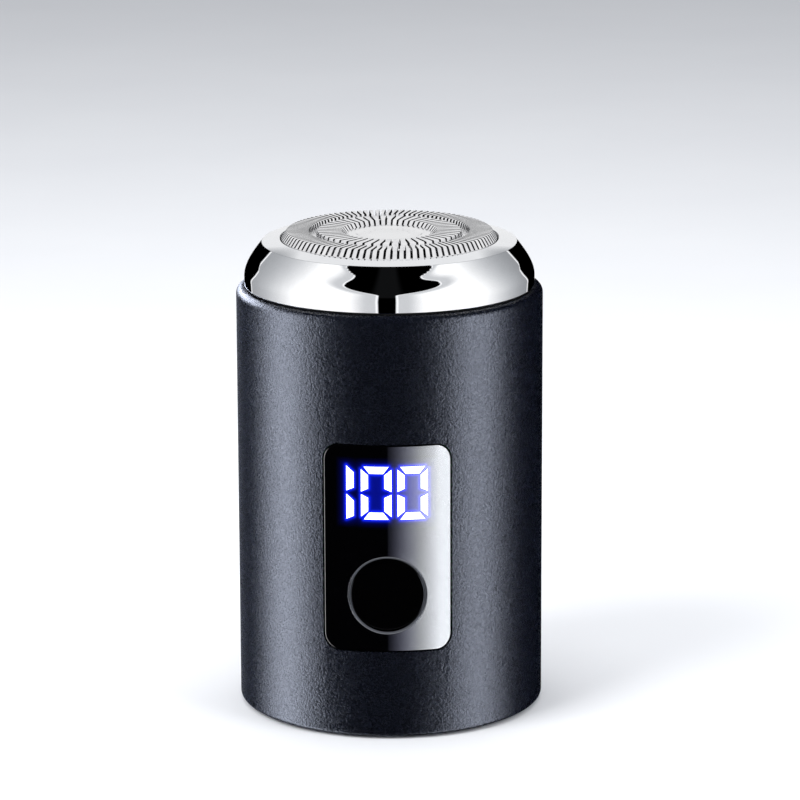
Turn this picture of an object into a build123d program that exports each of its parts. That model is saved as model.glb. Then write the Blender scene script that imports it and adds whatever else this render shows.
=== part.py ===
"""Pocket electric shaver: a 45 mm upright cylinder with one round cutting head on top.

Millimetres, +Z up. The origin is the middle of the base, on the surface the shaver stands on.
The display and the power button face -Y. One STEP file is written for each piece.
"""

from build123d import *
import math
import os

# ---------------------------------------------------------------- driving dimensions
BODY_RADIUS = 22.5
BODY_HEIGHT = 62.3
SLEEVE_WALL = 1.6
FOOT_PROUD = 0.4  # the rubber foot stands this far below the sleeve

HEAD_RADIUS = 21.3  # upright part of the chrome ring
HEAD_RIM_RADIUS = 18.7
HEAD_RIM_HEIGHT = 6.57  # rim above the sleeve's top edge
HEAD_KNEE_HEIGHT = 2.86  # where the ring's upright side turns into its cone, above the sleeve
HEAD_KNEE_ROUND = 3.6
HEAD_GAP = 0.25  # shadow line between the chrome ring and the sleeve

FOIL_RADIUS = 15.8
FOIL_TOP_RADIUS = 15.0
FOIL_THICKNESS = 0.25
FOIL_PROUD = 1.63  # shaving face above the chrome rim
OUTER_SLOTS = 100
INNER_SLOTS = 50
SLOT_SLANT = 7.0  # degrees off the radius

PANEL_LOW = 12.65  # the display panel's lower edge above the sleeve's bottom
PANEL_HEIGHT = 31.1
PANEL_HALF_ANGLE = 24.4  # degrees round the body
PANEL_CORNER = 2.6
LENS_THICKNESS = 1.0

BUTTON_RING_RADIUS = 5.82
BUTTON_HEIGHT = 21.3  # the button's axis above the sleeve's bottom
BUTTON_TRAVEL = 0.35

DIGIT_WIDTH = 4.4
DIGIT_HEIGHT = 7.9
DIGIT_STROKE = 1.03
DIGITS_HEIGHT = 37.0  # the middle of the digits above the sleeve's bottom

FLOAT_TRAVEL = 0.8  # how far the foil gives under the finger
RUNNING_GAP = 0.05
SCREW_RADIUS = 1.0  # M2
THREAD_GAP = 0.02

# ---------------------------------------------------------------- heights worked out from them
SLEEVE_LOW = FOOT_PROUD
SLEEVE_TOP = SLEEVE_LOW + BODY_HEIGHT
BORE_RADIUS = BODY_RADIUS - SLEEVE_WALL
RIM_Z = SLEEVE_TOP + HEAD_RIM_HEIGHT
FOIL_TOP = RIM_Z + FOIL_PROUD
FOIL_UNDER = FOIL_TOP - FOIL_THICKNESS
HEAD_LOW = SLEEVE_TOP + HEAD_GAP

BASE_FLOOR_TOP = SLEEVE_LOW + 1.5
BASE_RIM_TOP = SLEEVE_LOW + 4.6
FRAME_LOW = BASE_RIM_TOP + 0.4
FRAME_FLOOR_TOP = FRAME_LOW + 1.5
FRAME_RADIUS = 20.4
FRAME_WALL = 1.4
MID_PLATE_LOW = 25.2
MID_PLATE_TOP = 26.5
TOP_PLATE_LOW = 52.1
FRAME_TOP = 53.6

POCKET_LOW = 54.0  # hair pocket
POCKET_FLOOR = 55.5
POCKET_TOP = SLEEVE_TOP - 0.3

BOARD_FRONT = -16.0  # y of the circuit board's front face
BOARD_BACK = -15.0
DISPLAY_FACE = -20.1  # y of the display module's face
BUTTON_Z = SLEEVE_LOW + BUTTON_HEIGHT

CELL_RADIUS = 8.1
CELL_LENGTH = 33.0
CELL_Y = 1.0
CELL_Z = 16.2

MOTOR_RADIUS = 10.05
MOTOR_HALF_DEPTH = 7.55
MOTOR_LOW = 28.4
MOTOR_CAP_TOP = 30.6
MOTOR_TOP = 52.0
MOTOR_WALL = 0.8
SHAFT_RADIUS = 1.0

LIFT_OFF_RADIUS = 16.2  # circle of the magnets that hold the head
MAGNET_RADIUS = 2.0
MAGNET_HEIGHT = 2.0
MAGNET_ANGLES = (45, 135, 225, 315)
BASE_SCREW_CIRCLE = 15.5
POCKET_SCREW_CIRCLE = 12.0
TRIPOD_ANGLES = (90, 210, 330)
ARM_ANGLES = (30, 150, 270)


# ---------------------------------------------------------------- helpers
def tube(outer, inner, low, high):
    """A ring about Z between two heights, or a disc if inner is 0."""
    height = high - low
    ring = Cylinder(outer, height, align=(Align.CENTER, Align.CENTER, Align.MIN))
    if inner > 0:
        ring -= Cylinder(inner, height, align=(Align.CENTER, Align.CENTER, Align.MIN))
    return Pos(0, 0, low) * ring


def block(x0, x1, y0, y1, z0, z1):
    """A box between two opposite corners."""
    return Pos((x0 + x1) / 2, (y0 + y1) / 2, (z0 + z1) / 2) * Box(x1 - x0, y1 - y0, z1 - z0)


def lathe(outline, rounds=None):
    """Turns a closed outline of (radius, height) points about Z; rounds is {point number: radius}."""
    rounds = rounds or {}
    radii = [rounds.get(i, 0) for i in range(len(outline))]
    edge = FilletPolyline(*outline, radius=radii, close=True) if rounds else Polyline(*outline, close=True)
    return revolve(Plane.XZ * make_face(edge), Axis.Z, 360)


def along_y(shape, front, depth):
    """Extrudes a flat outline, drawn in X and Z, from y = front towards +Y."""
    return extrude(Plane.XZ.offset(-front) * shape, -depth)


def rod_y(radius, x, z, front, back):
    """A round bar along Y."""
    return along_y(Pos(x, z) * Circle(radius), front, back - front)


def rod_x(radius, y, z, x0, x1):
    """A round bar along X."""
    return Pos((x0 + x1) / 2, y, z) * Rot(0, 90, 0) * Cylinder(radius, x1 - x0)


def around(shape, angles):
    """Copies a shape round the Z axis."""
    return Part() + [Rot(0, 0, angle) * shape for angle in angles]


def evenly(count):
    """Angles of count places round a circle."""
    return [360 * i / count for i in range(count)]


def panel(shrink, front, depth):
    """The display panel's rounded outline as a bar along Y, drawn in by shrink all round."""
    width = 2 * (BODY_RADIUS * math.sin(math.radians(PANEL_HALF_ANGLE)) - shrink)
    height = PANEL_HEIGHT - 2 * shrink
    outline = RectangleRounded(width, height, max(PANEL_CORNER - shrink, 0.8))
    middle = SLEEVE_LOW + PANEL_LOW + PANEL_HEIGHT / 2
    return along_y(Pos(0, middle) * outline, front, depth)


def wire(points, radius):
    """An insulated wire: straight runs joined by arcs as large as the runs allow."""
    bends = []
    for before, at, after in zip(points, points[1:], points[2:]):
        come, go = Vector(at) - Vector(before), Vector(after) - Vector(at)
        half_turn = math.radians(come.get_angle(go)) / 2
        bends.append(0.45 * min(come.length, go.length) / math.tan(half_turn))
    path = FilletPolyline(*points, radius=bends)
    start = Plane(path @ 0, z_dir=path % 0)
    return sweep(start * Circle(radius), path)


def screw(head_radius, head_height, length):
    """A pan-head screw pointing down, its head's underside at z = 0, with a cross recess."""
    head = Cylinder(head_radius, head_height, align=(Align.CENTER, Align.CENTER, Align.MIN))
    head = fillet(head.edges().sort_by(Axis.Z)[-1], head_height * 0.35)
    shank = Cylinder(SCREW_RADIUS - THREAD_GAP, length, align=(Align.CENTER, Align.CENTER, Align.MAX))
    slot = Box(head_radius * 1.1, 0.35, head_height)
    recess = Pos(0, 0, head_height) * (slot + Rot(0, 0, 90) * slot)
    return head + shank - recess


# ---------------------------------------------------------------- outer shell and base
COVER_EDGE = BORE_RADIUS - 0.15  # outer radius of the two covers that fit in the tube
GROOVE_DEPTH = 0.65  # the covers' O-ring grooves
GROOVE_HEIGHT = 1.1
SEAL_SECTION = 0.34  # section radius of both O-rings
SEAL_RADIUS = COVER_EDGE - GROOVE_DEPTH + SEAL_SECTION + 0.09
BASE_GROOVE_LOW = 2.6
BASE_RIM_WALL = 1.75
POCKET_DEPTH_RADIUS = BODY_RADIUS - LENS_THICKNESS - 0.1  # floor of the panel's recess
WINDOW_LEDGE = 1.3


def outer_sleeve():
    """The textured tube, with a recess for the display panel and a window behind it."""
    low, top = SLEEVE_LOW, SLEEVE_TOP
    outline = [(BORE_RADIUS, low), (BODY_RADIUS, low), (BODY_RADIUS, top), (BORE_RADIUS, top)]
    sleeve = lathe(outline, {0: 0.2, 1: 0.6, 2: 1.05, 3: 0.3})
    recess = panel(0, -BODY_RADIUS - 1, BODY_RADIUS) - tube(POCKET_DEPTH_RADIUS, 0, 0, SLEEVE_TOP)
    window = panel(WINDOW_LEDGE, -BODY_RADIUS - 1, BODY_RADIUS)
    return sleeve - recess - window


def base_cap():
    """The bottom cover: a dished disc with the charging port's opening and three screw holes."""
    low, floor, rim = SLEEVE_LOW, BASE_FLOOR_TOP, BASE_RIM_TOP
    inner = COVER_EDGE - BASE_RIM_WALL
    cap = lathe(
        [(0, low), (COVER_EDGE, low), *seal_groove(BASE_GROOVE_LOW), (COVER_EDGE, rim), (inner, rim),
         (inner, floor), (0, floor)],
        {1: 0.3, 8: 0.5},
    )
    cap -= tube(FOOT_OUTER + 0.05, FOOT_INNER - 0.05, low, low + FOOT_SUNK)
    cap -= Pos(0, USB_Y, 0) * extrude(SlotOverall(USB_WIDTH + 0.45, USB_DEPTH + 0.45), floor)
    hole = Pos(BASE_SCREW_CIRCLE, 0, 0) * (
        Cylinder(SCREW_RADIUS + 0.1, 4) + Pos(0, 0, low) * Cylinder(2.0, 1.6)
    )
    return cap - around(hole, TRIPOD_ANGLES)


def seal_groove(low):
    """Outline points of an O-ring groove in a cover's edge, going up."""
    depth, high = COVER_EDGE - GROOVE_DEPTH, low + GROOVE_HEIGHT
    return [(COVER_EDGE, low), (depth, low), (depth, high), (COVER_EDGE, high)]


def seal_ring(groove_low):
    """The O-ring in a cover's groove."""
    return Pos(0, 0, groove_low + GROOVE_HEIGHT / 2) * Torus(SEAL_RADIUS, SEAL_SECTION)


def base_screws():
    """Three screws from below into the inner frame."""
    one = Pos(BASE_SCREW_CIRCLE, 0, SLEEVE_LOW + 0.8) * Rot(180, 0, 0) * screw(1.8, 0.7, 4.9)
    return around(one, TRIPOD_ANGLES)


FOOT_OUTER = 19.4
FOOT_INNER = 17.6
FOOT_SUNK = 0.6


def rubber_foot():
    """The ring that the shaver stands on."""
    top = SLEEVE_LOW + FOOT_SUNK
    return lathe([(FOOT_INNER, 0), (FOOT_OUTER, 0), (FOOT_OUTER, top), (FOOT_INNER, top)], {0: 0.15, 1: 0.15})


# ---------------------------------------------------------------- display panel and button
def display_lens():
    """The curved glossy panel, with the button's hole and a fine bright edge."""
    blank = panel(0.08, -BODY_RADIUS - 1, BODY_RADIUS)
    lens = blank & tube(BODY_RADIUS, BODY_RADIUS - LENS_THICKNESS, 0, SLEEVE_TOP)
    return lens - rod_y(BUTTON_RING_RADIUS + 0.02, 0, BUTTON_Z, -BODY_RADIUS - 1, 0)


def lens_tape():
    """The adhesive frame under the panel's edge."""
    outline = panel(0.3, -BODY_RADIUS, BODY_RADIUS) - panel(WINDOW_LEDGE + 0.05, -BODY_RADIUS, BODY_RADIUS)
    return outline & tube(BODY_RADIUS - LENS_THICKNESS, POCKET_DEPTH_RADIUS, 0, SLEEVE_TOP)


def button_ring():
    """The thin bright collar that guides the button, following the panel's curve."""
    flange_front, flange_back = -20.3, -19.8
    collar = rod_y(BUTTON_RING_RADIUS, 0, BUTTON_Z, -BODY_RADIUS - 0.5, flange_back)
    collar &= tube(BODY_RADIUS, 0, 0, SLEEVE_TOP)
    collar += rod_y(6.6, 0, BUTTON_Z, flange_front, flange_back)
    return collar - rod_y(BUTTON_BORE, 0, BUTTON_Z, -BODY_RADIUS - 1, 0)


BUTTON_BORE = 5.5
BUTTON_FACE = -21.85
BUTTON_STEM_END = -18.4


def power_button():
    """A flat round cap with a guiding skirt, a stop flange behind the collar and a middle stem."""
    skirt = rod_y(BUTTON_BORE - 0.1, 0, BUTTON_Z, BUTTON_FACE, -19.2)
    skirt = fillet(skirt.edges().sort_by(Axis.Y)[0], 0.25)
    button = skirt + rod_y(6.2, 0, BUTTON_Z, -19.7, -19.2) - rod_y(4.4, 0, BUTTON_Z, -21.2, -19.0)
    return button + rod_y(1.5, 0, BUTTON_Z, -21.3, BUTTON_STEM_END)


SWITCH_FRONT = -17.6
PLUNGER_RADIUS = 1.1


def switch_body():
    """The tact switch's square case, with a blind hole for the plunger and four solder legs."""
    case = block(-2.6, 2.6, SWITCH_FRONT, BOARD_FRONT, BUTTON_Z - 2.6, BUTTON_Z + 2.6)
    case = chamfer(case.edges().filter_by(Axis.Y), 0.4)
    case -= rod_y(PLUNGER_RADIUS + RUNNING_GAP, 0, BUTTON_Z, SWITCH_FRONT - 1, BOARD_FRONT - 0.3)
    for x in (-3.05, 3.05):
        for rise in (-1.8, 1.8):
            z = BUTTON_Z + rise
            case += block(x - 0.55, x + 0.55, -16.5, BOARD_FRONT, z - 0.35, z + 0.35)
    return case


def switch_plunger():
    """The tact switch's round plunger, just short of the button's stem."""
    return rod_y(PLUNGER_RADIUS, 0, BUTTON_Z, BUTTON_STEM_END + RUNNING_GAP, -16.9)


def digit_segments():
    """Outlines of one digit's seven bars, about the digit's middle; the last is the middle bar."""
    a, b, s = DIGIT_WIDTH / 2, DIGIT_HEIGHT / 2, DIGIT_STROKE
    top = make_face(Polyline((0.4 - a, b), (a - 0.4, b), (a - 1.2, b - s), (1.2 - a, b - s), close=True))
    side = make_face(Polyline((a, b - 0.4), (a, 0.2), (a - s, 0.7), (a - s, b - 1.25), close=True))
    tip, shoulder = a - 0.45, a - 1.15
    corners = [(tip, 0), (shoulder, 0.5), (-shoulder, 0.5), (-tip, 0), (-shoulder, -0.5), (shoulder, -0.5)]
    middle = make_face(Polyline(*corners, close=True))
    upper = [top, side, mirror(side, Plane.YZ)]
    return upper + [mirror(bar, Plane.XZ) for bar in upper] + [middle]


DIGIT_CENTRES = (-1.56, 3.67)  # the two whole digits
HALF_DIGIT_X = -5.34  # the bars of the leading 1
SEGMENT_DEPTH = 2.0


def segment_bars():
    """Every bar of the display as a solid: the lit ones of '100', then the unlit middle ones."""
    z = SLEEVE_LOW + DIGITS_HEIGHT
    bars = digit_segments()
    one = make_face(Polyline((0, 3.95), (1.1, 3.0), (1.1, 0.75), (0, 0.25), close=True))
    lit = [Pos(HALF_DIGIT_X - 0.55, z) * one, Pos(HALF_DIGIT_X - 0.55, z - 4.2) * one]
    unlit = []
    for x in DIGIT_CENTRES:
        lit += [Pos(x, z) * bar for bar in bars[:-1]]
        unlit.append(Pos(x, z) * bars[-1])
    front = DISPLAY_FACE - 0.04
    return [[along_y(bar, front, SEGMENT_DEPTH) for bar in bars] for bars in (lit, unlit)]


def display_module(bars):
    """The light-proof display housing, with a pocket for each bar and pins into the board."""
    z = SLEEVE_LOW + DIGITS_HEIGHT
    housing = block(-7.4, 7.4, DISPLAY_FACE, BOARD_FRONT, z - 5.4, z + 5.2)
    for x in (-6, -3, 0, 3, 6):
        for rise in (-4.6, 4.4):
            housing += rod_y(0.25, x, z + rise, BOARD_FRONT - 0.1, BOARD_BACK + 0.8)
    return housing - bars


# ---------------------------------------------------------------- circuit board
BOARD_HALF_WIDTH = 11.0
BOARD_LOW = 6.0
BOARD_HIGH = 50.5
BOARD_SCREWS = ((-9.55, 9.0), (9.55, 9.0), (-9.55, 47.5), (9.55, 47.5))
USB_WIDTH = 8.94
USB_DEPTH = 3.16
USB_Y = BOARD_BACK + USB_DEPTH / 2
USB_MOUTH = SLEEVE_LOW + 0.8
USB_BACK = USB_MOUTH + 7.3


def main_board():
    """The board behind the panel, with a narrow tongue for the charging port."""
    sheet = RectangleRounded(2 * BOARD_HALF_WIDTH, BOARD_HIGH - BOARD_LOW, 1.0)
    sheet = Pos(0, (BOARD_LOW + BOARD_HIGH) / 2) * sheet
    sheet += Pos(0, BOARD_LOW - 1.2) * Rectangle(12, 4.4)
    board = along_y(sheet, BOARD_FRONT, BOARD_BACK - BOARD_FRONT)
    for x, z in BOARD_SCREWS:
        board -= rod_y(SCREW_RADIUS + 0.1, x, z, BOARD_FRONT - 1, 0)
    z = SLEEVE_LOW + DIGITS_HEIGHT
    for x in (-6, -3, 0, 3, 6):
        for rise in (-4.6, 4.4):
            board -= rod_y(0.3, x, z + rise, BOARD_FRONT - 1, 0)
    return board


def board_screws():
    """Four small screws that hold the board to the frame's rails."""
    one = Rot(90, 0, 0) * screw(1.4, 0.8, 3.6)
    return Part() + [Pos(x, BOARD_FRONT, z) * one for x, z in BOARD_SCREWS]


def chip(x0, x1, z0, z1, thickness, pins):
    """A chip on the back of the board, with a row of gull-wing legs on its two long sides."""
    body = block(x0, x1, BOARD_BACK + 0.1, BOARD_BACK + thickness, z0, z1)
    body = chamfer(body.edges().group_by(Axis.Y)[-1], 0.15)
    pitch = (z1 - z0) / pins
    for i in range(pins):
        z = z0 + pitch * (i + 0.5)
        body += block(x0 - 0.8, x1 + 0.8, BOARD_BACK, BOARD_BACK + 0.3, z - 0.2, z + 0.2)
    return body


def chips():
    """The controller and the charging chip."""
    return chip(-2.0, 2.0, 33.6, 41.0, 1.7, 7) + chip(-4.4, -0.8, 12.6, 17.4, 1.5, 4)


def small_components():
    """Chip resistors, capacitors and one coil on the back of the board."""
    places = [(5.2, z) for z in (12.0, 14.5, 17.0)]
    places += [(x, 20.2) for x in (2.4, -2.2)]
    places += [(x, z) for x in (-5.4, 5.4) for z in (36.0, 38.6)]
    group = Part()
    for x, z in places:
        group += block(x - 1.0, x + 1.0, BOARD_BACK, BOARD_BACK + 0.75, z - 0.6, z + 0.6)
    coil = rod_y(2.4, 3.2, 46.2, BOARD_BACK, BOARD_BACK + 2.2)
    return group + coil


def usb_shell():
    """The charging port's rounded metal shell, closed at the back."""
    length = USB_BACK - USB_MOUTH
    shell = extrude(SlotOverall(USB_WIDTH, USB_DEPTH), length)
    bore = extrude(SlotOverall(USB_WIDTH - 0.6, USB_DEPTH - 0.6), length - 0.4)
    return Pos(0, USB_Y, USB_MOUTH) * (shell - bore)


def usb_tongue():
    """The plastic tongue in the port, standing on a block at the port's back."""
    tongue = block(-3.3, 3.3, USB_Y - 0.3, USB_Y + 0.3, USB_MOUTH + 0.7, USB_BACK - 0.4)
    root = Pos(0, USB_Y, USB_BACK - 2.0) * extrude(SlotOverall(USB_WIDTH - 0.7, USB_DEPTH - 0.7), 1.6)
    return tongue + root


def usb_contacts():
    """The gold fingers on both faces of the tongue."""
    group = Part()
    for i in range(8):
        x = (i - 3.5) * 0.75
        for side in (-1, 1):
            near, far = sorted((USB_Y + side * 0.3, USB_Y + side * 0.38))
            group += block(x - 0.18, x + 0.18, near, far, USB_MOUTH + 1.1, USB_BACK - 2.0)
    return group


# ---------------------------------------------------------------- inner frame and battery
RAIL_INNER, RAIL_OUTER = 8.5, 10.7
FRAME_FRONT = -11.3


def inner_frame():
    """The chassis: three plates, two side walls, two rails for the board and the battery's saddles."""
    front_cut = block(-30, 30, -30, FRAME_FRONT, 0, 60)
    back_cut = block(-30, 30, 12, 30, FRAME_FLOOR_TOP, TOP_PLATE_LOW)
    plates = tube(FRAME_RADIUS, 0, FRAME_LOW, FRAME_FLOOR_TOP)
    plates += tube(FRAME_RADIUS, 3.4, MID_PLATE_LOW, MID_PLATE_TOP)
    plates += tube(FRAME_RADIUS, 3.4, TOP_PLATE_LOW, FRAME_TOP)
    walls = tube(FRAME_RADIUS, FRAME_RADIUS - FRAME_WALL, FRAME_LOW, FRAME_TOP)
    frame = plates + walls - front_cut - back_cut
    for side in (-1, 1):
        near, far = sorted((side * RAIL_INNER, side * RAIL_OUTER))
        frame += block(near, far, BOARD_BACK, FRAME_FRONT + 0.5, FRAME_LOW, FRAME_TOP)
        x = side * 10
        saddle = block(x - 0.8, x + 0.8, CELL_Y - 8, CELL_Y + 8, FRAME_FLOOR_TOP - 0.5, CELL_Z - 2)
        frame += saddle - rod_x(CELL_RADIUS + 0.1, CELL_Y, CELL_Z, -20, 20)
    boss = Pos(BASE_SCREW_CIRCLE, 0, 0) * tube(2.6, 0, BASE_FLOOR_TOP + 0.1, FRAME_FLOOR_TOP)
    frame += around(boss, TRIPOD_ANGLES)
    thread = Cylinder(SCREW_RADIUS, 60)
    frame -= around(Pos(BASE_SCREW_CIRCLE, 0, FRAME_FLOOR_TOP - 30) * thread, TRIPOD_ANGLES)
    frame -= around(Pos(POCKET_SCREW_CIRCLE, 0, FRAME_TOP) * Cylinder(SCREW_RADIUS, 8), TRIPOD_ANGLES)
    for x in (-MOTOR_SCREW_X, MOTOR_SCREW_X):
        frame -= Pos(x, 0, FRAME_TOP) * Cylinder(SCREW_RADIUS + 0.1, 6)
    for x, z in BOARD_SCREWS:
        frame -= rod_y(SCREW_RADIUS, x, z, BOARD_BACK - 1, FRAME_FRONT - 0.2)
    return frame


def battery_cell():
    """One wrapped lithium cell lying across the body, with its raised positive end at +X."""
    half = CELL_LENGTH / 2
    cell = rod_x(CELL_RADIUS, CELL_Y, CELL_Z, -half, half)
    cell = fillet(cell.edges().filter_by(GeomType.CIRCLE), 0.6)
    return cell + rod_x(3.0, CELL_Y, CELL_Z, half - 0.2, half + 0.7)


def battery_tabs():
    """Nickel strips welded to the cell's two ends."""
    half = CELL_LENGTH / 2
    plus = block(half + 0.7, half + 0.9, CELL_Y - 2.5, CELL_Y + 2.5, CELL_Z - 4, CELL_Z + 6)
    minus = block(-half - 0.2, -half, CELL_Y - 2.5, CELL_Y + 2.5, CELL_Z - 4, CELL_Z + 6)
    return plus + minus


def foam_pad():
    """The pad that the middle plate presses on the cell."""
    pad = block(-9, 9, CELL_Y - 4, CELL_Y + 4, CELL_Z + 6.5, MID_PLATE_LOW)
    return pad - rod_x(CELL_RADIUS, CELL_Y, CELL_Z, -20, 20)


# ---------------------------------------------------------------- motor
MOTOR_SCREW_X = 6.4
TAG_LOW = MOTOR_LOW - 1.5
ARMATURE_LOW, ARMATURE_HIGH = 37.4, 46.6
COMMUTATOR_LOW, COMMUTATOR_HIGH = 32.0, 35.2
BRUSH_Z = 33.4
POLE_ANGLES = (0, 120, 240)
TAG_X = 8.2
SHAFT_TOP = 60.0


def motor_section(shrink):
    """The motor's outline: a circle with two flats, drawn in by shrink."""
    flats = Rectangle(2 * MOTOR_RADIUS, 2 * (MOTOR_HALF_DEPTH - shrink))
    return Circle(MOTOR_RADIUS - shrink) & flats


def motor_can():
    """The drawn steel can, open at the bottom, with the front bush's hole and two screw holes."""
    can = Pos(0, 0, MOTOR_CAP_TOP) * extrude(motor_section(0), MOTOR_TOP - MOTOR_CAP_TOP)
    can = fillet(can.edges().group_by(Axis.Z)[-1], 0.9)
    depth = MOTOR_TOP - MOTOR_CAP_TOP - MOTOR_WALL
    can -= Pos(0, 0, MOTOR_CAP_TOP) * extrude(motor_section(MOTOR_WALL), depth)
    can -= Pos(0, 0, MOTOR_TOP) * Cylinder(3.0, 4)
    for x in (-MOTOR_SCREW_X, MOTOR_SCREW_X):
        can -= Pos(x, 0, MOTOR_TOP) * Cylinder(SCREW_RADIUS, 4)
    for side in (-1, 1):
        can -= block(-2, 2, side * 8 - 1.5, side * 8 + 1.5, 47.5, 49.5)
    return can


def motor_end_cap():
    """The plastic end bell that carries the brushes and terminals."""
    cap = Pos(0, 0, MOTOR_LOW) * extrude(motor_section(0.1), MOTOR_CAP_TOP - MOTOR_LOW)
    cap += Pos(0, 0, MOTOR_CAP_TOP) * extrude(motor_section(MOTOR_WALL + 0.05), 0.8)
    cap -= tube(3.2, 0, MOTOR_LOW + 1.4, MOTOR_CAP_TOP + 1)
    cap -= tube(2.2, 0, MOTOR_LOW - 1, MOTOR_LOW + 1.4)
    for side in (-1, 1):
        cap -= block(side * TAG_X - 0.25, side * TAG_X + 0.25, -1.2, 1.2, MOTOR_LOW - 1, MOTOR_CAP_TOP + 1)
    return cap


def motor_terminals():
    """Brass tags with brush arms that reach the commutator."""
    group = Part()
    for side in (-1, 1):
        x = side * TAG_X
        group += block(x - 0.2, x + 0.2, -1.1, 1.1, TAG_LOW, BRUSH_Z + 0.2)
        near, far = sorted((side * 2.25, x))
        group += block(near, far, -0.6, 0.6, BRUSH_Z - 0.2, BRUSH_Z + 0.2)
    return group


def motor_magnets():
    """Two curved field magnets on the can's round sides."""
    ring = tube(MOTOR_RADIUS - MOTOR_WALL - 0.02, 6.7, 34.6, 48.6)
    side_bar = block(2, 12, -6.5, 6.5, MOTOR_LOW, MOTOR_TOP)
    return (ring & side_bar) + (ring & Rot(0, 0, 180) * side_bar)


def motor_bushes():
    """Sintered bearings in the can's face and in the end cap."""
    front = tube(3.0, SHAFT_RADIUS + 0.03, MOTOR_TOP - MOTOR_WALL, MOTOR_TOP + 1.3)
    rear = tube(2.2, SHAFT_RADIUS + 0.03, MOTOR_LOW, MOTOR_LOW + 1.4)
    return front + rear


def motor_screws():
    """Two screws through the frame's top plate into the motor's face."""
    one = Pos(MOTOR_SCREW_X, 0, FRAME_TOP) * screw(1.7, 0.3, 2.6)
    return around(one, (0, 180))


def motor_shaft():
    """The steel shaft, from the rear bush up into the drive coupling."""
    return tube(SHAFT_RADIUS, 0, MOTOR_LOW + 0.1, SHAFT_TOP)


def motor_armature():
    """A three-pole iron core."""
    pole = tube(6.35, 5.3, ARMATURE_LOW, ARMATURE_HIGH) & extrude(
        Pos(0, 0, ARMATURE_LOW) * make_face(Polyline((0, 0), (9, -7.2), (9, 7.2), close=True)), 10
    )
    neck = block(1.5, 5.6, -1.1, 1.1, ARMATURE_LOW, ARMATURE_HIGH)
    core = tube(2.2, 0, ARMATURE_LOW, ARMATURE_HIGH) + around(pole + neck, POLE_ANGLES)
    return core - tube(SHAFT_RADIUS, 0, ARMATURE_LOW, ARMATURE_HIGH)


def motor_windings():
    """Copper coils round the three poles."""
    coil = block(2.6, 4.7, -2.2, 2.2, ARMATURE_LOW - 1, ARMATURE_HIGH + 1)
    coil = fillet(coil.edges().filter_by(Axis.X), 0.8)
    coil -= block(0, 7, -1.15, 1.15, ARMATURE_LOW, ARMATURE_HIGH)
    return around(coil, POLE_ANGLES)


def commutator():
    """The copper drum that the brushes run on, in three bars."""
    drum = tube(2.2, SHAFT_RADIUS, COMMUTATOR_LOW, COMMUTATOR_HIGH)
    gap = block(1.8, 3, -0.12, 0.12, COMMUTATOR_LOW, COMMUTATOR_HIGH - 0.6)
    return drum - around(gap, POLE_ANGLES)


# ---------------------------------------------------------------- drive
HEX_FLATS = 3.6
COUPLING_LOW = 55.4
COUPLING_FLANGE = 56.0
COUPLING_TOP = 60.6
SPINDLE_SLEEVE_LOW = 59.0
SPINDLE_TOP = 65.3
UMBRELLA_LOW, UMBRELLA_TOP = 61.0, 61.9
UMBRELLA_RADIUS = 5.3
SKIRT_LOW = 57.6
DRIVE_SQUARE = 4.2
SPRING_RADIUS = 2.55
SPRING_WIRE = 0.2


def hexagon(flats, low, high):
    """A hexagonal bar about Z, by its width across flats."""
    return Pos(0, 0, low) * extrude(RegularPolygon(flats / 2, 6, major_radius=False), high - low)


def drive_coupling():
    """The hexagonal driver pressed on the motor's shaft, with the spring's seat."""
    driver = hexagon(HEX_FLATS, COUPLING_FLANGE, COUPLING_TOP) + tube(2.9, 0, COUPLING_LOW, COUPLING_FLANGE)
    return driver - tube(SHAFT_RADIUS, 0, COUPLING_LOW, SHAFT_TOP)


def drive_spring():
    """The coil that pushes the spindle and the cutter up against the foil."""
    low, high = COUPLING_FLANGE + SPRING_WIRE + 0.02, SPINDLE_SLEEVE_LOW - SPRING_WIRE - 0.02
    coil = Helix((high - low) / 4, high - low, SPRING_RADIUS)
    section = Plane(coil @ 0, z_dir=coil % 0) * Circle(SPRING_WIRE)
    return Pos(0, 0, low) * sweep(section, coil, is_frenet=True)


def drive_spindle():
    """The sliding spindle: a hexagonal sleeve, a skirt that keeps hair out and a square driving head."""
    spindle = tube(2.9, 0, SPINDLE_SLEEVE_LOW, UMBRELLA_TOP)
    spindle += lathe(
        [(0, UMBRELLA_LOW), (4.65, UMBRELLA_LOW), (4.65, SKIRT_LOW), (UMBRELLA_RADIUS, SKIRT_LOW),
         (UMBRELLA_RADIUS, UMBRELLA_TOP), (0, UMBRELLA_TOP)],
        {4: 0.5},
    )
    half = DRIVE_SQUARE / 2
    head = block(-half, half, -half, half, UMBRELLA_TOP - 0.2, SPINDLE_TOP)
    head = chamfer(head.edges().group_by(Axis.Z)[-1], 0.4)
    return spindle + head - hexagon(HEX_FLATS + 0.16, SPINDLE_SLEEVE_LOW, COUPLING_TOP + FLOAT_TRAVEL + 0.2)


# ---------------------------------------------------------------- hair pocket under the head
CHIMNEY_INNER, CHIMNEY_OUTER, CHIMNEY_TOP = 3.2, 4.2, 58.4
COLLAR_INNER = 19.5
POCKET_GROOVE_LOW = 57.0
MAGNET_LOW = POCKET_FLOOR + 0.3
MAGNET_TOP = MAGNET_LOW + MAGNET_HEIGHT


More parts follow.
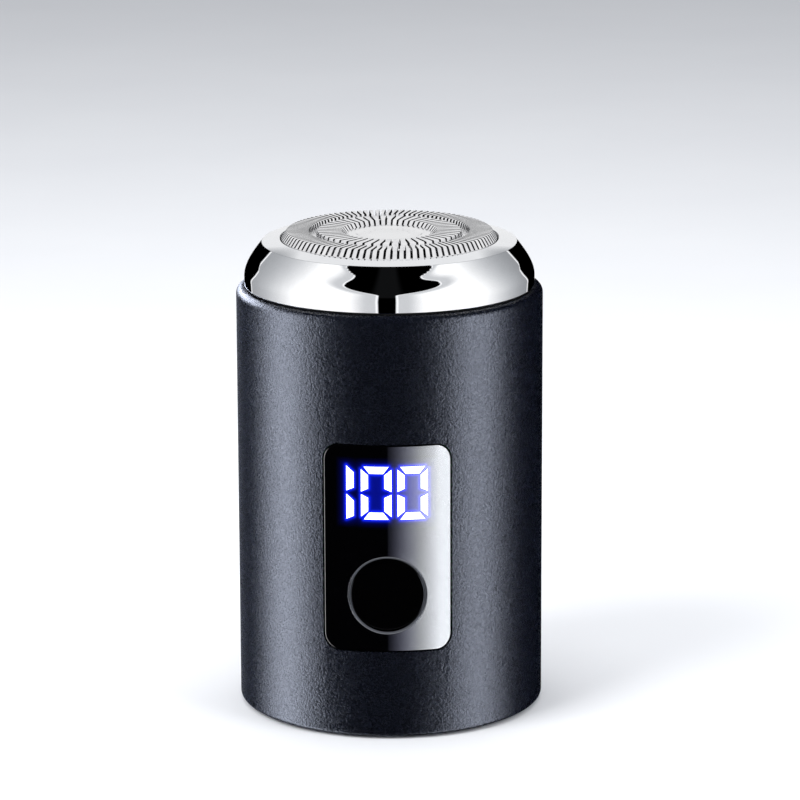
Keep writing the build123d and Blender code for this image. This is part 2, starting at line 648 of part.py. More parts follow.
def hair_pocket():
    """The black cup that closes the body and catches the cut hair, with a chimney round the drive."""
    cup = lathe(
        [
            (CHIMNEY_INNER, POCKET_LOW), (COVER_EDGE, POCKET_LOW), *seal_groove(POCKET_GROOVE_LOW),
            (COVER_EDGE, POCKET_TOP), (COLLAR_INNER, POCKET_TOP), (COLLAR_INNER, POCKET_FLOOR),
            (CHIMNEY_OUTER, POCKET_FLOOR), (CHIMNEY_OUTER, CHIMNEY_TOP), (CHIMNEY_INNER, CHIMNEY_TOP),
        ],
        {8: 0.8, 9: 0.6},
    )
    boss = tube(2.8, 0, POCKET_FLOOR - 0.1, MAGNET_TOP)
    cup += around(Pos(LIFT_OFF_RADIUS, 0, 0) * boss, MAGNET_ANGLES)
    cup -= magnets(MAGNET_LOW)
    screw_hole = Pos(POCKET_SCREW_CIRCLE, 0, POCKET_FLOOR) * Cylinder(SCREW_RADIUS + 0.1, 6)
    return cup - around(screw_hole, TRIPOD_ANGLES)


def magnets(low):
    """Four disc magnets on the circle that holds the head."""
    disc = tube(MAGNET_RADIUS, 0, low, low + MAGNET_HEIGHT)
    return around(Pos(LIFT_OFF_RADIUS, 0, 0) * disc, MAGNET_ANGLES)


def pocket_screws():
    """Three screws that hold the hair pocket to the frame."""
    one = Pos(POCKET_SCREW_CIRCLE, 0, POCKET_FLOOR) * screw(1.8, 1.0, 3.2)
    return around(one, TRIPOD_ANGLES)


def shaft_seal():
    """The rubber lip seal round the shaft."""
    lip, top = SHAFT_RADIUS + RUNNING_GAP, POCKET_LOW + 1.2
    return lathe(
        [(lip, POCKET_LOW + 0.5), (1.6, POCKET_LOW), (CHIMNEY_INNER, POCKET_LOW), (CHIMNEY_INNER, top),
         (2.2, top), (2.0, POCKET_LOW + 0.7), (lip, POCKET_LOW + 0.8)]
    )


def head_gasket():
    """The soft ring on the pocket's collar that the head closes on."""
    return tube(20.6, COLLAR_INNER + 0.2, POCKET_TOP, SLEEVE_TOP + 0.15)


# ---------------------------------------------------------------- lift-off head
RING_WALL = 1.2
KNEE_Z = SLEEVE_TOP + HEAD_KNEE_HEIGHT
CONE_SLOPE = (HEAD_RADIUS - HEAD_RIM_RADIUS) / (RIM_Z - KNEE_Z)  # radius lost per millimetre of height
FOIL_HOLE = 15.95
FOIL_SEAT = RIM_Z + 0.55  # the chrome ring's inner edge, a little above its rim
FOIL_SEAT_UNDER = FOIL_SEAT - 1.1


def knee_point(inset):
    """Where the ring's upright side meets its cone, both moved in by inset."""
    half_turn = math.atan(CONE_SLOPE) / 2
    return HEAD_RADIUS - inset, KNEE_Z - inset * math.tan(half_turn)


def cone_point(inset, height):
    """A point of the ring's cone, moved in by inset, at a height."""
    radius, knee = knee_point(inset)
    return radius - CONE_SLOPE * (height - knee), height


def head_ring():
    """The chrome ring: upright below, a cone up to a crisp rim, and a gently rising top face."""
    return lathe(
        [
            (HEAD_RADIUS, HEAD_LOW), knee_point(0), (HEAD_RIM_RADIUS, RIM_Z), (FOIL_HOLE, FOIL_SEAT),
            (FOIL_HOLE, FOIL_SEAT_UNDER), cone_point(RING_WALL, FOIL_SEAT_UNDER), knee_point(RING_WALL),
            (HEAD_RADIUS - RING_WALL, HEAD_LOW),
        ],
        {0: 0.15, 1: HEAD_KNEE_ROUND, 2: 0.18, 3: 0.2, 6: HEAD_KNEE_ROUND - RING_WALL},
    )


LINER_INNER = 18.1
SKIRT_OUTER = 19.3
LINER_LOW = MAGNET_TOP + 0.1
LINER_TOP = 67.2
HEAD_MAGNET_LOW = LINER_LOW + 0.2
CLIP_GROOVE_LOW, CLIP_GROOVE_HIGH = 62.4, 63.8
CLIP_GROOVE_RADIUS = 18.65


def head_liner():
    """The black inner shell: a skirt that drops into the pocket's collar, with magnet bosses and a groove."""
    inset = RING_WALL + 0.12
    liner = lathe(
        [
            (HEAD_RADIUS - inset, HEAD_LOW), knee_point(inset), cone_point(inset, LINER_TOP),
            (LINER_INNER, LINER_TOP), (LINER_INNER, CLIP_GROOVE_HIGH), (CLIP_GROOVE_RADIUS, CLIP_GROOVE_HIGH),
            (CLIP_GROOVE_RADIUS, CLIP_GROOVE_LOW), (LINER_INNER, CLIP_GROOVE_LOW), (LINER_INNER, LINER_LOW),
            (SKIRT_OUTER, LINER_LOW), (SKIRT_OUTER, HEAD_LOW),
        ],
        {1: HEAD_KNEE_ROUND - inset},
    )
    boss = Pos(LIFT_OFF_RADIUS, 0, 0) * tube(2.6, 0, LINER_LOW, HEAD_MAGNET_LOW + 2.3)
    bosses = around(boss, MAGNET_ANGLES) & tube(SKIRT_OUTER - 0.2, 0, LINER_LOW, LINER_TOP)
    return liner + bosses - magnets(HEAD_MAGNET_LOW)


FRAME_RING_LOW, FRAME_ARM_LOW, FRAME_ARM_TOP = 60.9, 62.2, 63.4


def retaining_frame():
    """The clip-in spider that keeps the cutter in the head."""
    outer, inner = LINER_INNER - 0.15, 16.5
    low, arm_low, top = FRAME_RING_LOW, FRAME_ARM_LOW, FRAME_ARM_TOP
    spider = tube(outer, inner, low, top) + tube(6.2, 4.5, arm_low, top)
    spider += around(block(6, inner + 0.3, -1.2, 1.2, arm_low, top), ARM_ANGLES)
    lug_low = CLIP_GROOVE_LOW + 0.1
    lug = tube(CLIP_GROOVE_RADIUS - 0.15, 17.5, lug_low, top) & block(0, 30, -3, 3, lug_low, top)
    return spider + around(lug, TRIPOD_ANGLES)


# ---------------------------------------------------------------- foil
TRACK_OUTER = (11.8, FOIL_TOP_RADIUS)  # inner and outer radius of the outer shaving track
TRACK_INNER = (7.0, 10.5)
CENTRE_RADIUS = 6.4
DISH = 0.8  # depth of the groove and of the middle below the shaving face
FLANGE_RADIUS = 17.3
FLANGE_LOW = FOIL_SEAT_UNDER - 0.07 - FOIL_THICKNESS
OUTER_SLOT_WIDTH = 0.3
INNER_SLOT_WIDTH = 0.34


def foil_sheet():
    """The foil before slotting: two raised tracks, a groove between them, a dished middle and a flange."""
    t, top, low = FOIL_THICKNESS, FOIL_TOP, FOIL_TOP - DISH
    (in0, in1), (out0, out1) = TRACK_INNER, TRACK_OUTER
    shoulder = FOIL_SEAT - 0.1
    above = [
        (0, low), (CENTRE_RADIUS, low), (in0, top), (in1, top), (in1 + 0.2, low), (out0 - 0.2, low),
        (out0, top), (out1, top), (FOIL_RADIUS, shoulder), (FOIL_RADIUS, FLANGE_LOW + t),
        (FLANGE_RADIUS, FLANGE_LOW + t),
    ]
    below = [
        (FLANGE_RADIUS, FLANGE_LOW), (FOIL_RADIUS - t, FLANGE_LOW), (FOIL_RADIUS - t, shoulder - 0.1),
        (out1 - 0.15, top - t), (out0 + 0.2, top - t), (out0, low - t), (in1, low - t), (in1 - 0.2, top - t),
        (in0 + 0.15, top - t), (CENTRE_RADIUS + 0.15, low - t), (0, low - t),
    ]
    return lathe(above + below, {2: 0.2, 3: 0.12, 6: 0.12, 7: 0.35, 14: 0.15})


def slot_cutter(inner, outer, width, low):
    """One slot's cutter, lying along X and turned a little off the radius."""
    middle = (inner + outer) / 2
    bar = Box(outer - inner, width, 2, align=(Align.CENTER, Align.CENTER, Align.MIN))
    return Pos(middle, 0, low) * Rot(0, 0, SLOT_SLANT) * bar


def outer_foil():
    """The slotted shaving foil."""
    low = FOIL_TOP - DISH
    wide = slot_cutter(TRACK_OUTER[0] - 0.14, FOIL_RADIUS + 0.4, OUTER_SLOT_WIDTH, low - 0.12)
    short = slot_cutter(CENTRE_RADIUS + 0.12, TRACK_INNER[1] + 0.14, INNER_SLOT_WIDTH, low + 0.06)
    cutters = [Rot(0, 0, angle) * wide for angle in evenly(OUTER_SLOTS)]
    cutters += [Rot(0, 0, angle) * short for angle in evenly(INNER_SLOTS)]
    return foil_sheet() - cutters


def foil_centre_cap():
    """The plain disc in the middle of the foil, with a shallow dish."""
    low = FOIL_TOP - DISH
    return lathe(
        [(0, low), (6.1, low), (6.1, low + 0.3), (4.9, low + 0.3), (4.5, low + 0.16), (0, low + 0.16)],
        {2: 0.1, 3: 0.15, 4: 0.15},
    )


# ---------------------------------------------------------------- rotating cutter
BLADE_COUNT = 15
BLADE_LEAN = 28  # degrees
BLADE_TIP = FOIL_UNDER - RUNNING_GAP
CARRIER_LOW, CARRIER_SHOULDER, CARRIER_TOP = 62.2, 64.4, 69.2
CARRIER_DISC_LOW, CARRIER_DISC_TOP = 66.4, 67.6
CARRIER_RADIUS = 14.4
BLADE_RING_TOP = CARRIER_DISC_TOP + 0.5


def cutter_carrier():
    """The plastic hub that turns the blades, with a square socket for the drive."""
    low, shoulder, top = CARRIER_LOW, CARRIER_SHOULDER, CARRIER_TOP
    disc_low, disc_top = CARRIER_DISC_LOW, CARRIER_DISC_TOP
    hub = lathe(
        [(0, low), (4.2, low), (4.2, shoulder), (5.8, shoulder), (5.8, disc_low), (CARRIER_RADIUS, disc_low),
         (CARRIER_RADIUS, disc_top), (6.2, disc_top), (5.6, top), (0, top)],
        {4: 0.5, 5: 0.3, 8: 0.4},
    )
    half = DRIVE_SQUARE / 2 + 0.1
    return hub - block(-half, half, -half, half, CARRIER_LOW, SPINDLE_TOP + RUNNING_GAP)


def cutter_blades():
    """One steel stamping: a flat ring with two rows of leaning blades under the two tracks."""
    ring = tube(14.7, 6.4, CARRIER_DISC_TOP, BLADE_RING_TOP)
    height = BLADE_TIP - CARRIER_DISC_TOP
    slab = tube(20, 0, CARRIER_DISC_TOP, BLADE_TIP)
    for inner, outer in ((7.5, 9.9), (12.2, 14.5)):
        plate = Box(outer - inner, 0.45, 2 * height)
        blade = Pos((inner + outer) / 2, 0, CARRIER_DISC_TOP + height / 2) * Rot(BLADE_LEAN, 0, 0) * plate
        ring += around(blade & slab, evenly(BLADE_COUNT))
    return ring


# ---------------------------------------------------------------- wires
WIRE_RADIUS = 0.6
LEAD_Z = MID_PLATE_LOW - 0.7  # the battery leads pass under the middle plate


def battery_lead(side):
    """From a battery tab, up and forward past the board's rail and into the board."""
    tab_face = CELL_LENGTH / 2 + (0.9 if side > 0 else 0.2)
    x = side * (tab_face + WIRE_RADIUS + 0.02)
    return wire(
        [(x, CELL_Y + 0.5, CELL_Z + 3.6), (x, CELL_Y - 1.6, LEAD_Z - 0.6), (side * 15.8, -6.2, LEAD_Z),
         (side * 11.2, -8.8, LEAD_Z), (side * 6.2, -10.2, LEAD_Z), (side * 6.2, BOARD_BACK, LEAD_Z)],
        WIRE_RADIUS,
    )


def motor_lead(side):
    """From a motor tag, forward under the motor and into the board."""
    z = TAG_LOW + WIRE_RADIUS + 0.05
    tag, pad = side * TAG_X, side * 5.0
    points = [(tag, -1.1, z), (tag, -6.0, z), (pad, -10.4, z + 0.3), (pad, BOARD_BACK, z + 0.3)]
    return wire(points, WIRE_RADIUS)


# ---------------------------------------------------------------- build and write
def build():
    """Makes every piece, by node name."""
    lit, unlit = segment_bars()
    return {
        "outer_sleeve": outer_sleeve(),
        "base_cap": base_cap(),
        "base_seal": seal_ring(BASE_GROOVE_LOW),
        "base_screws": base_screws(),
        "rubber_foot": rubber_foot(),
        "display_lens": display_lens(),
        "lens_tape": lens_tape(),
        "button_ring": button_ring(),
        "power_button": power_button(),
        "switch_body": switch_body(),
        "switch_plunger": switch_plunger(),
        "display_module": display_module(lit + unlit),
        "lit_segments": Part() + lit,
        "unlit_segments": Part() + unlit,
        "main_board": main_board(),
        "board_screws": board_screws(),
        "board_chips": chips(),
        "small_components": small_components(),
        "usb_shell": usb_shell(),
        "usb_tongue": usb_tongue(),
        "usb_contacts": usb_contacts(),
        "inner_frame": inner_frame(),
        "battery_cell": battery_cell(),
        "battery_tabs": battery_tabs(),
        "foam_pad": foam_pad(),
        "battery_lead_red": battery_lead(1),
        "battery_lead_black": battery_lead(-1),
        "motor_can": motor_can(),
        "motor_end_cap": motor_end_cap(),
        "motor_terminals": motor_terminals(),
        "motor_magnets": motor_magnets(),
        "motor_bushes": motor_bushes(),
        "motor_screws": motor_screws(),
        "motor_lead_red": motor_lead(1),
        "motor_lead_black": motor_lead(-1),
        "motor_shaft": motor_shaft(),
        "motor_armature": motor_armature(),
        "motor_windings": motor_windings(),
        "commutator": commutator(),
        "drive_coupling": drive_coupling(),
        "drive_spring": drive_spring(),
        "drive_spindle": drive_spindle(),
        "hair_pocket": hair_pocket(),
        "pocket_seal": seal_ring(POCKET_GROOVE_LOW),
        "pocket_magnets": magnets(MAGNET_LOW),
        "pocket_screws": pocket_screws(),
        "shaft_seal": shaft_seal(),
        "head_gasket": head_gasket(),
        "head_ring": head_ring(),
        "head_liner": head_liner(),
        "head_magnets": magnets(HEAD_MAGNET_LOW),
        "retaining_frame": retaining_frame(),
        "outer_foil": outer_foil(),
        "foil_centre_cap": foil_centre_cap(),
        "cutter_carrier": cutter_carrier(),
        "cutter_blades": cutter_blades(),
    }


os.makedirs("parts", exist_ok=True)
for name, shape in build().items():
    export_step(shape, f"parts/{name}.step")
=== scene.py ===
"""Looks of the pocket electric shaver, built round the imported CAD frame. Metres, +Z up, front towards -Y."""

import math

import bmesh
import bpy
from mathutils import Matrix, Vector


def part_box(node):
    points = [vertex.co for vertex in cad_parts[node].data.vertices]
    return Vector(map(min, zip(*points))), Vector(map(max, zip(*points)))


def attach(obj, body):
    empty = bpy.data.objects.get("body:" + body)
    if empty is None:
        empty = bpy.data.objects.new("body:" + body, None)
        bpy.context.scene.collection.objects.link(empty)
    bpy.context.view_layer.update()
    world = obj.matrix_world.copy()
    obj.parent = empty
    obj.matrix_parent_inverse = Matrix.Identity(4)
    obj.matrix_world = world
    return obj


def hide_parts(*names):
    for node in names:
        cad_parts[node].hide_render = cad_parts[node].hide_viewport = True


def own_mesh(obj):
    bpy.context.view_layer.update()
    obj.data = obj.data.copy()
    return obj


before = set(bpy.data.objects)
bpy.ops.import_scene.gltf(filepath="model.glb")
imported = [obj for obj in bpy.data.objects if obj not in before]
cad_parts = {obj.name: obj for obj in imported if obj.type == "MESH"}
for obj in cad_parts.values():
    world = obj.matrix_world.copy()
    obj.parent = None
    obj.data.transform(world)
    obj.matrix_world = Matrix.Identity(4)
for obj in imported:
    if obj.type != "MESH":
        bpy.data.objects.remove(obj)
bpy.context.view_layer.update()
MM = 0.001

# ---------------------------------------------------------------- sizes taken from the frame
sleeve_low, sleeve_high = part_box("outer_sleeve")
ring_low, ring_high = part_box("head_ring")
foil_low, foil_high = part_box("outer_foil")
lens_low, lens_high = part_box("display_lens")
button_low, button_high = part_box("power_button")
bars_low, bars_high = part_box("lit_segments")
foot_low, foot_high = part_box("rubber_foot")
cap_low, cap_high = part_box("foil_centre_cap")

BODY_R = sleeve_high.x
SLEEVE_LOW, SLEEVE_TOP = sleeve_low.z, sleeve_high.z
HEAD_R = ring_high.x
FOIL_TOP = foil_high.z
RIM_Z = FOIL_TOP - 1.63 * MM
LENS_HALF = math.asin(lens_high.x / BODY_R) * BODY_R + 0.12 * MM  # half the panel's width, round the body
LENS_MID = (lens_low.z + lens_high.z) / 2
LENS_HALF_HEIGHT = (lens_high.z - lens_low.z) / 2
LENS_CORNER = 2.55 * MM
BUTTON_Z = (button_low.z + button_high.z) / 2
COLLAR_R = 5.82 * MM
BUTTON_R = 5.4 * MM
DIGITS_Z = (bars_low.z + bars_high.z) / 2 - 0.45 * MM
TURN = 2 * math.pi


# ---------------------------------------------------------------- mesh helpers
def new_object(name, verts, faces, body, smooth_angle=35, slots=None):
    """An object from points and faces, shaded smooth except at corners, riding on a CAD body."""
    mesh = bpy.data.meshes.new(name)
    mesh.from_pydata([tuple(v) for v in verts], [], faces)
    if slots:
        mesh.polygons.foreach_set("material_index", slots)
    obj = bpy.data.objects.new(name, mesh)
    bpy.context.scene.collection.objects.link(obj)
    tidy_normals(obj, smooth_angle)
    if body:
        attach(obj, body)
    return obj


def tidy_normals(obj, smooth_angle=35):
    """Points faces outwards and shades them by area, so that small rounds don't dull the flats by them."""
    work = bmesh.new()
    work.from_mesh(obj.data)
    bmesh.ops.remove_doubles(work, verts=work.verts, dist=1e-7)
    bmesh.ops.recalc_face_normals(work, faces=work.faces)
    work.to_mesh(obj.data)
    work.free()
    obj.data.shade_smooth()
    obj.data.set_sharp_from_angle(angle=math.radians(smooth_angle))
    weigh = obj.modifiers.new("weigh", "WEIGHTED_NORMAL")
    weigh.keep_sharp = True
    weigh.weight = 80


def rounded(outline, rounds, steps=6):
    """A closed outline of (a, b) points with some corners rounded; rounds is {point number: radius}."""
    made = []
    count = len(outline)
    for i, point in enumerate(outline):
        radius = rounds.get(i, 0)
        here = Vector(point)
        if radius <= 0:
            made.append(tuple(here))
            continue
        back = (Vector(outline[i - 1]) - here).normalized()
        on = (Vector(outline[(i + 1) % count]) - here).normalized()
        half = back.angle(on) / 2
        reach = radius / math.tan(half)
        centre = here + (back + on).normalized() * (radius / math.sin(half))
        start, end = here + back * reach - centre, here + on * reach - centre
        sweep = start.angle_signed(end)
        for k in range(steps + 1):
            turn = -sweep * k / steps
            made.append(tuple(centre + Matrix.Rotation(turn, 2) @ start))
    return made


def lathe(name, outline, body, rounds=None, segments=256, steps=6, smooth_angle=35):
    """Turns a closed (radius, height) outline about Z. Points on the axis close to a single vertex."""
    profile = rounded(outline, rounds or {}, steps)
    verts, faces, rings = [], [], []
    for radius, height in profile:
        if radius < 1e-7:
            rings.append([len(verts)] * segments)
            verts.append((0, 0, height))
            continue
        rings.append(list(range(len(verts), len(verts) + segments)))
        for k in range(segments):
            angle = TURN * k / segments
            verts.append((radius * math.cos(angle), radius * math.sin(angle), height))
    for here, there in zip(rings, rings[1:] + rings[:1]):
        for k in range(segments):
            m = (k + 1) % segments
            corners = list(dict.fromkeys([here[k], here[m], there[m], there[k]]))
            if len(corners) > 2:
                faces.append(corners)
    return new_object(name, verts, faces, body, smooth_angle)


def wrap(s, z, out=0.0):
    """A point at distance s round the body's front, at height z, standing out by out."""
    angle = s / BODY_R
    radius = BODY_R + out
    return Vector((radius * math.sin(angle), -radius * math.cos(angle), z))


def bridge(verts_per_ring, rings, closed=True):
    """Quads between successive rings of vertices."""
    faces = []
    last = verts_per_ring if closed else verts_per_ring - 1
    for r in range(rings - 1):
        for k in range(last):
            m = (k + 1) % verts_per_ring
            low, high = r * verts_per_ring, (r + 1) * verts_per_ring
            faces.append([low + k, low + m, high + m, high + k])
    return faces


def panel_outline(shrink=0.0, side_steps=36, corner_steps=14):
    """The panel's rounded rectangle as (s, z) points, anticlockwise, drawn in by shrink."""
    a, b, r = LENS_HALF - shrink, LENS_HALF_HEIGHT - shrink, max(LENS_CORNER - shrink, 0.3 * MM)
    corners = [(a - r, b - r, 0), (r - a, b - r, 90), (r - a, r - b, 180), (a - r, r - b, 270)]
    points = []
    for i, (x, z, start) in enumerate(corners):
        for k in range(corner_steps + 1):
            turn = math.radians(start + 90 * k / corner_steps)
            points.append((x + r * math.cos(turn), z + r * math.sin(turn)))
        nx, nz, nstart = corners[(i + 1) % 4]
        first = points[-1]
        turn = math.radians(nstart)
        last = (nx + r * math.cos(turn), nz + r * math.sin(turn))
        for k in range(1, side_steps):
            t = k / side_steps
            points.append((first[0] + (last[0] - first[0]) * t, first[1] + (last[1] - first[1]) * t))
    return [(s, LENS_MID + z) for s, z in points]


# ---------------------------------------------------------------- node materials
class Shader:
    """A material with one Principled shader, and short ways to add nodes to it."""

    def __init__(self, name, colour, roughness, metallic=0.0, **sockets):
        self.material = bpy.data.materials.new(name)
        self.material.use_nodes = True
        self.tree = self.material.node_tree
        self.shader = self.tree.nodes["Principled BSDF"]
        self.shader.inputs["Base Color"].default_value = (*colour, 1)
        self.shader.inputs["Roughness"].default_value = roughness
        self.shader.inputs["Metallic"].default_value = metallic
        for key, value in sockets.items():
            self.shader.inputs[key.replace("_", " ")].default_value = value
        coords = self.tree.nodes.new("ShaderNodeTexCoord")
        self.place = coords.outputs["Object"]

    def link(self, source, target):
        self.tree.links.new(source, target)

    def stretched(self, scale):
        """Object coordinates multiplied along each axis."""
        node = self.tree.nodes.new("ShaderNodeMapping")
        node.inputs["Scale"].default_value = scale
        self.link(self.place, node.inputs["Vector"])
        return node.outputs["Vector"]

    def noise(self, feature, detail=3.0, rough=0.55, distort=0.0, vector=None):
        """Noise whose blobs are about feature metres across."""
        node = self.tree.nodes.new("ShaderNodeTexNoise")
        node.inputs["Scale"].default_value = 1 / feature
        node.inputs["Detail"].default_value = detail
        node.inputs["Roughness"].default_value = rough
        node.inputs["Distortion"].default_value = distort
        self.link(vector or self.place, node.inputs["Vector"])
        return node

    def cells(self, feature, vector=None, kind="F1", smooth=None):
        """Voronoi cells about feature metres across."""
        node = self.tree.nodes.new("ShaderNodeTexVoronoi")
        node.feature = kind
        node.inputs["Scale"].default_value = 1 / feature
        if smooth is not None:
            node.inputs["Smoothness"].default_value = smooth
        self.link(vector or self.place, node.inputs["Vector"])
        return node

    def ramp(self, source, low, high, at=(0.0, 1.0)):
        """Maps a value to a range."""
        node = self.tree.nodes.new("ShaderNodeMapRange")
        node.inputs["From Min"].default_value, node.inputs["From Max"].default_value = at
        node.inputs["To Min"].default_value, node.inputs["To Max"].default_value = low, high
        self.link(source, node.inputs["Value"])
        return node.outputs["Result"]

    def math(self, operation, first, second):
        node = self.tree.nodes.new("ShaderNodeMath")
        node.operation = operation
        for socket, value in zip(node.inputs, (first, second)):
            if isinstance(value, (int, float)):
                socket.default_value = value
            else:
                self.link(value, socket)
        return node.outputs[0]

    def blend_colour(self, factor, first, second, target="Base Color"):
        """Mixes two colours by a factor into a socket."""
        node = self.tree.nodes.new("ShaderNodeMix")
        node.data_type = "RGBA"
        node.inputs["A"].default_value = (*first, 1)
        node.inputs["B"].default_value = (*second, 1)
        self.link(factor, node.inputs["Factor"])
        self.link(node.outputs["Result"], self.shader.inputs[target])

    def bump(self, height, depth, strength=1.0, under=None):
        """Adds relief of about depth metres."""
        node = self.tree.nodes.new("ShaderNodeBump")
        node.inputs["Distance"].default_value = depth
        node.inputs["Strength"].default_value = strength
        self.link(height, node.inputs["Height"])
        if under:
            self.link(under, node.inputs["Normal"])
        self.link(node.outputs["Normal"], self.shader.inputs["Normal"])
        return node.outputs["Normal"]

    def roughen(self, source, low, high, at=(0.3, 0.7)):
        self.link(self.ramp(source, low, high, at), self.shader.inputs["Roughness"])


def leather_grain():
    """The sleeve's soft-touch coat: near-black blue-grey with fine pebbled wrinkles."""
    m = Shader("leather_grain", (0.004, 0.0055, 0.01), 0.3, IOR=1.5)
    warp = m.noise(0.9 * MM, detail=2, distort=0.4)
    node = m.tree.nodes.new("ShaderNodeMix")
    node.data_type = "VECTOR"
    node.inputs["Factor"].default_value = 0.00035
    m.link(m.place, node.inputs["A"])
    m.link(warp.outputs["Color"], node.inputs["B"])
    pebble = m.cells(0.3 * MM, node.outputs["Result"], "SMOOTH_F1", 0.35)
    crease = m.noise(0.34 * MM, detail=3, rough=0.6, distort=1.2)
    fine = m.noise(0.09 * MM, detail=2)
    relief = m.math("MULTIPLY", pebble.outputs["Distance"], -0.55)
    relief = m.math("ADD", relief, m.math("MULTIPLY", crease.outputs["Fac"], 0.75))
    relief = m.math("ADD", relief, m.math("MULTIPLY", fine.outputs["Fac"], 0.15))
    m.bump(relief, 0.08 * MM, 0.85)
    m.roughen(crease.outputs["Fac"], 0.2, 0.32)
    # the grain's low parts are coloured darker: painted shade in its creases and hollows
    m.blend_colour(m.ramp(relief, 0, 1, (0.05, 0.45)), (0.0016, 0.002, 0.004), (0.0045, 0.006, 0.011))
    return m.material


def moulded(name, colour, roughness=0.45, grain=0.12 * MM, depth=0.006 * MM, shade=0.8, **sockets):
    """Moulded plastic: a fine even texture, a little colour drift."""
    m = Shader(name, colour, roughness, **sockets)
    drift = m.noise(4 * MM, detail=2)
    m.blend_colour(drift.outputs["Fac"], tuple(c * shade for c in colour), colour)
    fine = m.noise(grain, detail=2)
    m.roughen(fine.outputs["Fac"], roughness * 0.88, min(roughness * 1.12, 1))
    m.bump(fine.outputs["Fac"], depth)
    return m.material


def worked_metal(name, colour, roughness=0.25, stretch=(1, 1, 14), grain=0.25 * MM, depth=0.002 * MM):
    """Drawn, ground or plated metal: fine lines along one direction."""
    m = Shader(name, colour, roughness, 1.0)
    lines = m.noise(grain, detail=3, vector=m.stretched(stretch))
    drift = m.noise(3 * MM, detail=2)
    m.blend_colour(drift.outputs["Fac"], tuple(c * 0.86 for c in colour), colour)
    m.roughen(lines.outputs["Fac"], roughness * 0.75, min(roughness * 1.3, 1))
    m.bump(lines.outputs["Fac"], depth)
    return m.material


def mirror_chrome():
    """Plated chrome: near mirror, with the faintest unevenness."""
    m = Shader("mirror_chrome", (0.86, 0.87, 0.89), 0.035, 1.0)
    haze = m.noise(1.6 * MM, detail=3)
    m.roughen(haze.outputs["Fac"], 0.012, 0.03)
    m.blend_colour(haze.outputs["Fac"], (0.84, 0.85, 0.87), (0.89, 0.9, 0.92))
    wave = m.noise(7 * MM, detail=1)
    m.bump(wave.outputs["Fac"], 0.002 * MM)
    return m.material


def ground_foil():
    """The shaving foil: bright nickel-steel lapped in fine arcs, a little stained between the slots."""
    m = Shader("ground_foil", (0.74, 0.74, 0.76), 0.24, 1.0)
    arcs = m.noise(0.16 * MM, detail=3, vector=m.stretched((1, 1, 3)))
    stain = m.noise(2.2 * MM, detail=4, rough=0.65, distort=0.6)
    m.roughen(arcs.outputs["Fac"], 0.16, 0.28)
    m.blend_colour(m.ramp(stain.outputs["Fac"], 0, 1, (0.35, 0.68)), (0.72, 0.72, 0.74), (0.9, 0.9, 0.91))
    m.bump(arcs.outputs["Fac"], 0.0015 * MM, 0.7)
    return m.material


def painted_slot_shade():
    """The walls and underside of the foil's slots: near-black steel, a painted shade that stands for the dark
    inside the slots.
    """
    m = Shader("painted_slot_shade", (0.02, 0.02, 0.021), 0.55, 0.6)
    pits = m.noise(0.08 * MM, detail=2)
    m.roughen(pits.outputs["Fac"], 0.45, 0.65)
    m.blend_colour(pits.outputs["Fac"], (0.012, 0.012, 0.013), (0.03, 0.03, 0.032))
    return m.material


def piano_black(name="piano_black", colour=(0.0004, 0.0004, 0.0006), roughness=0.04, ior=1.33):
    """Polished black plastic with a faint unevenness of the polish."""
    m = Shader(name, colour, roughness, IOR=ior)
    haze = m.noise(1.2 * MM, detail=3)
    m.roughen(haze.outputs["Fac"], roughness * 0.7, roughness * 1.5)
    m.blend_colour(haze.outputs["Fac"], tuple(c * 0.8 for c in colour), tuple(c * 1.3 for c in colour))
    return m


def display_glow():
    """The lens over the display: piano black, with blue light spilling from the lit bars."""
    m = piano_black("display_glow")
    spill = m.tree.nodes.new("ShaderNodeAttribute")
    spill.attribute_name = "spill"
    m.blend_colour(spill.outputs["Fac"], (0, 0, 0), (0.006, 0.02, 1.0), "Emission Color")
    m.shader.inputs["Emission Strength"].default_value = 1.25
    return m.material


def lit_bar():
    """A lit bar: white with the faintest unevenness of a diffuser."""
    m = Shader("lit_bar", (0.8, 0.85, 0.9), 0.3)
    grain = m.noise(0.5 * MM, detail=2)
    m.blend_colour(grain.outputs["Fac"], (0.86, 0.9, 1.0), (1.0, 1.0, 1.0), "Emission Color")
    m.shader.inputs["Emission Strength"].default_value = 1.15
    return m.material


def soft_rubber(name="soft_rubber", colour=(0.012, 0.012, 0.013)):
    return moulded(name, colour, 0.62, 0.2 * MM, 0.01 * MM)


def circuit_board():
    """Green solder mask with copper tracks showing through and plated holes' sheen."""
    m = Shader("circuit_board", (0.01, 0.09, 0.035), 0.32, Coat_Weight=0.4)
    grid = m.tree.nodes.new("ShaderNodeTexBrick")
    grid.inputs["Scale"].default_value = 260
    grid.inputs["Mortar Size"].default_value = 0.035
    turned = m.tree.nodes.new("ShaderNodeMapping")
    turned.inputs["Rotation"].default_value = (math.radians(90), 0, 0)
    m.link(m.place, turned.inputs["Vector"])
    m.link(turned.outputs["Vector"], grid.inputs["Vector"])
    m.blend_colour(grid.outputs["Fac"], (0.008, 0.075, 0.03), (0.03, 0.2, 0.07))
    m.bump(grid.outputs["Fac"], 0.02 * MM)
    return m.material


def wound_copper():
    """Enamelled copper wire, wound side by side along the pole."""
    m = Shader("wound_copper", (0.62, 0.22, 0.09), 0.28, 0.9)
    bands = m.tree.nodes.new("ShaderNodeTexWave")
    bands.bands_direction = "Z"
    bands.inputs["Scale"].default_value = 900
    bands.inputs["Distortion"].default_value = 0.6
    m.link(m.place, bands.inputs["Vector"])
    m.blend_colour(bands.outputs["Fac"], (0.3, 0.08, 0.03), (0.72, 0.29, 0.13))
    m.bump(bands.outputs["Fac"], 0.06 * MM)
    return m.material


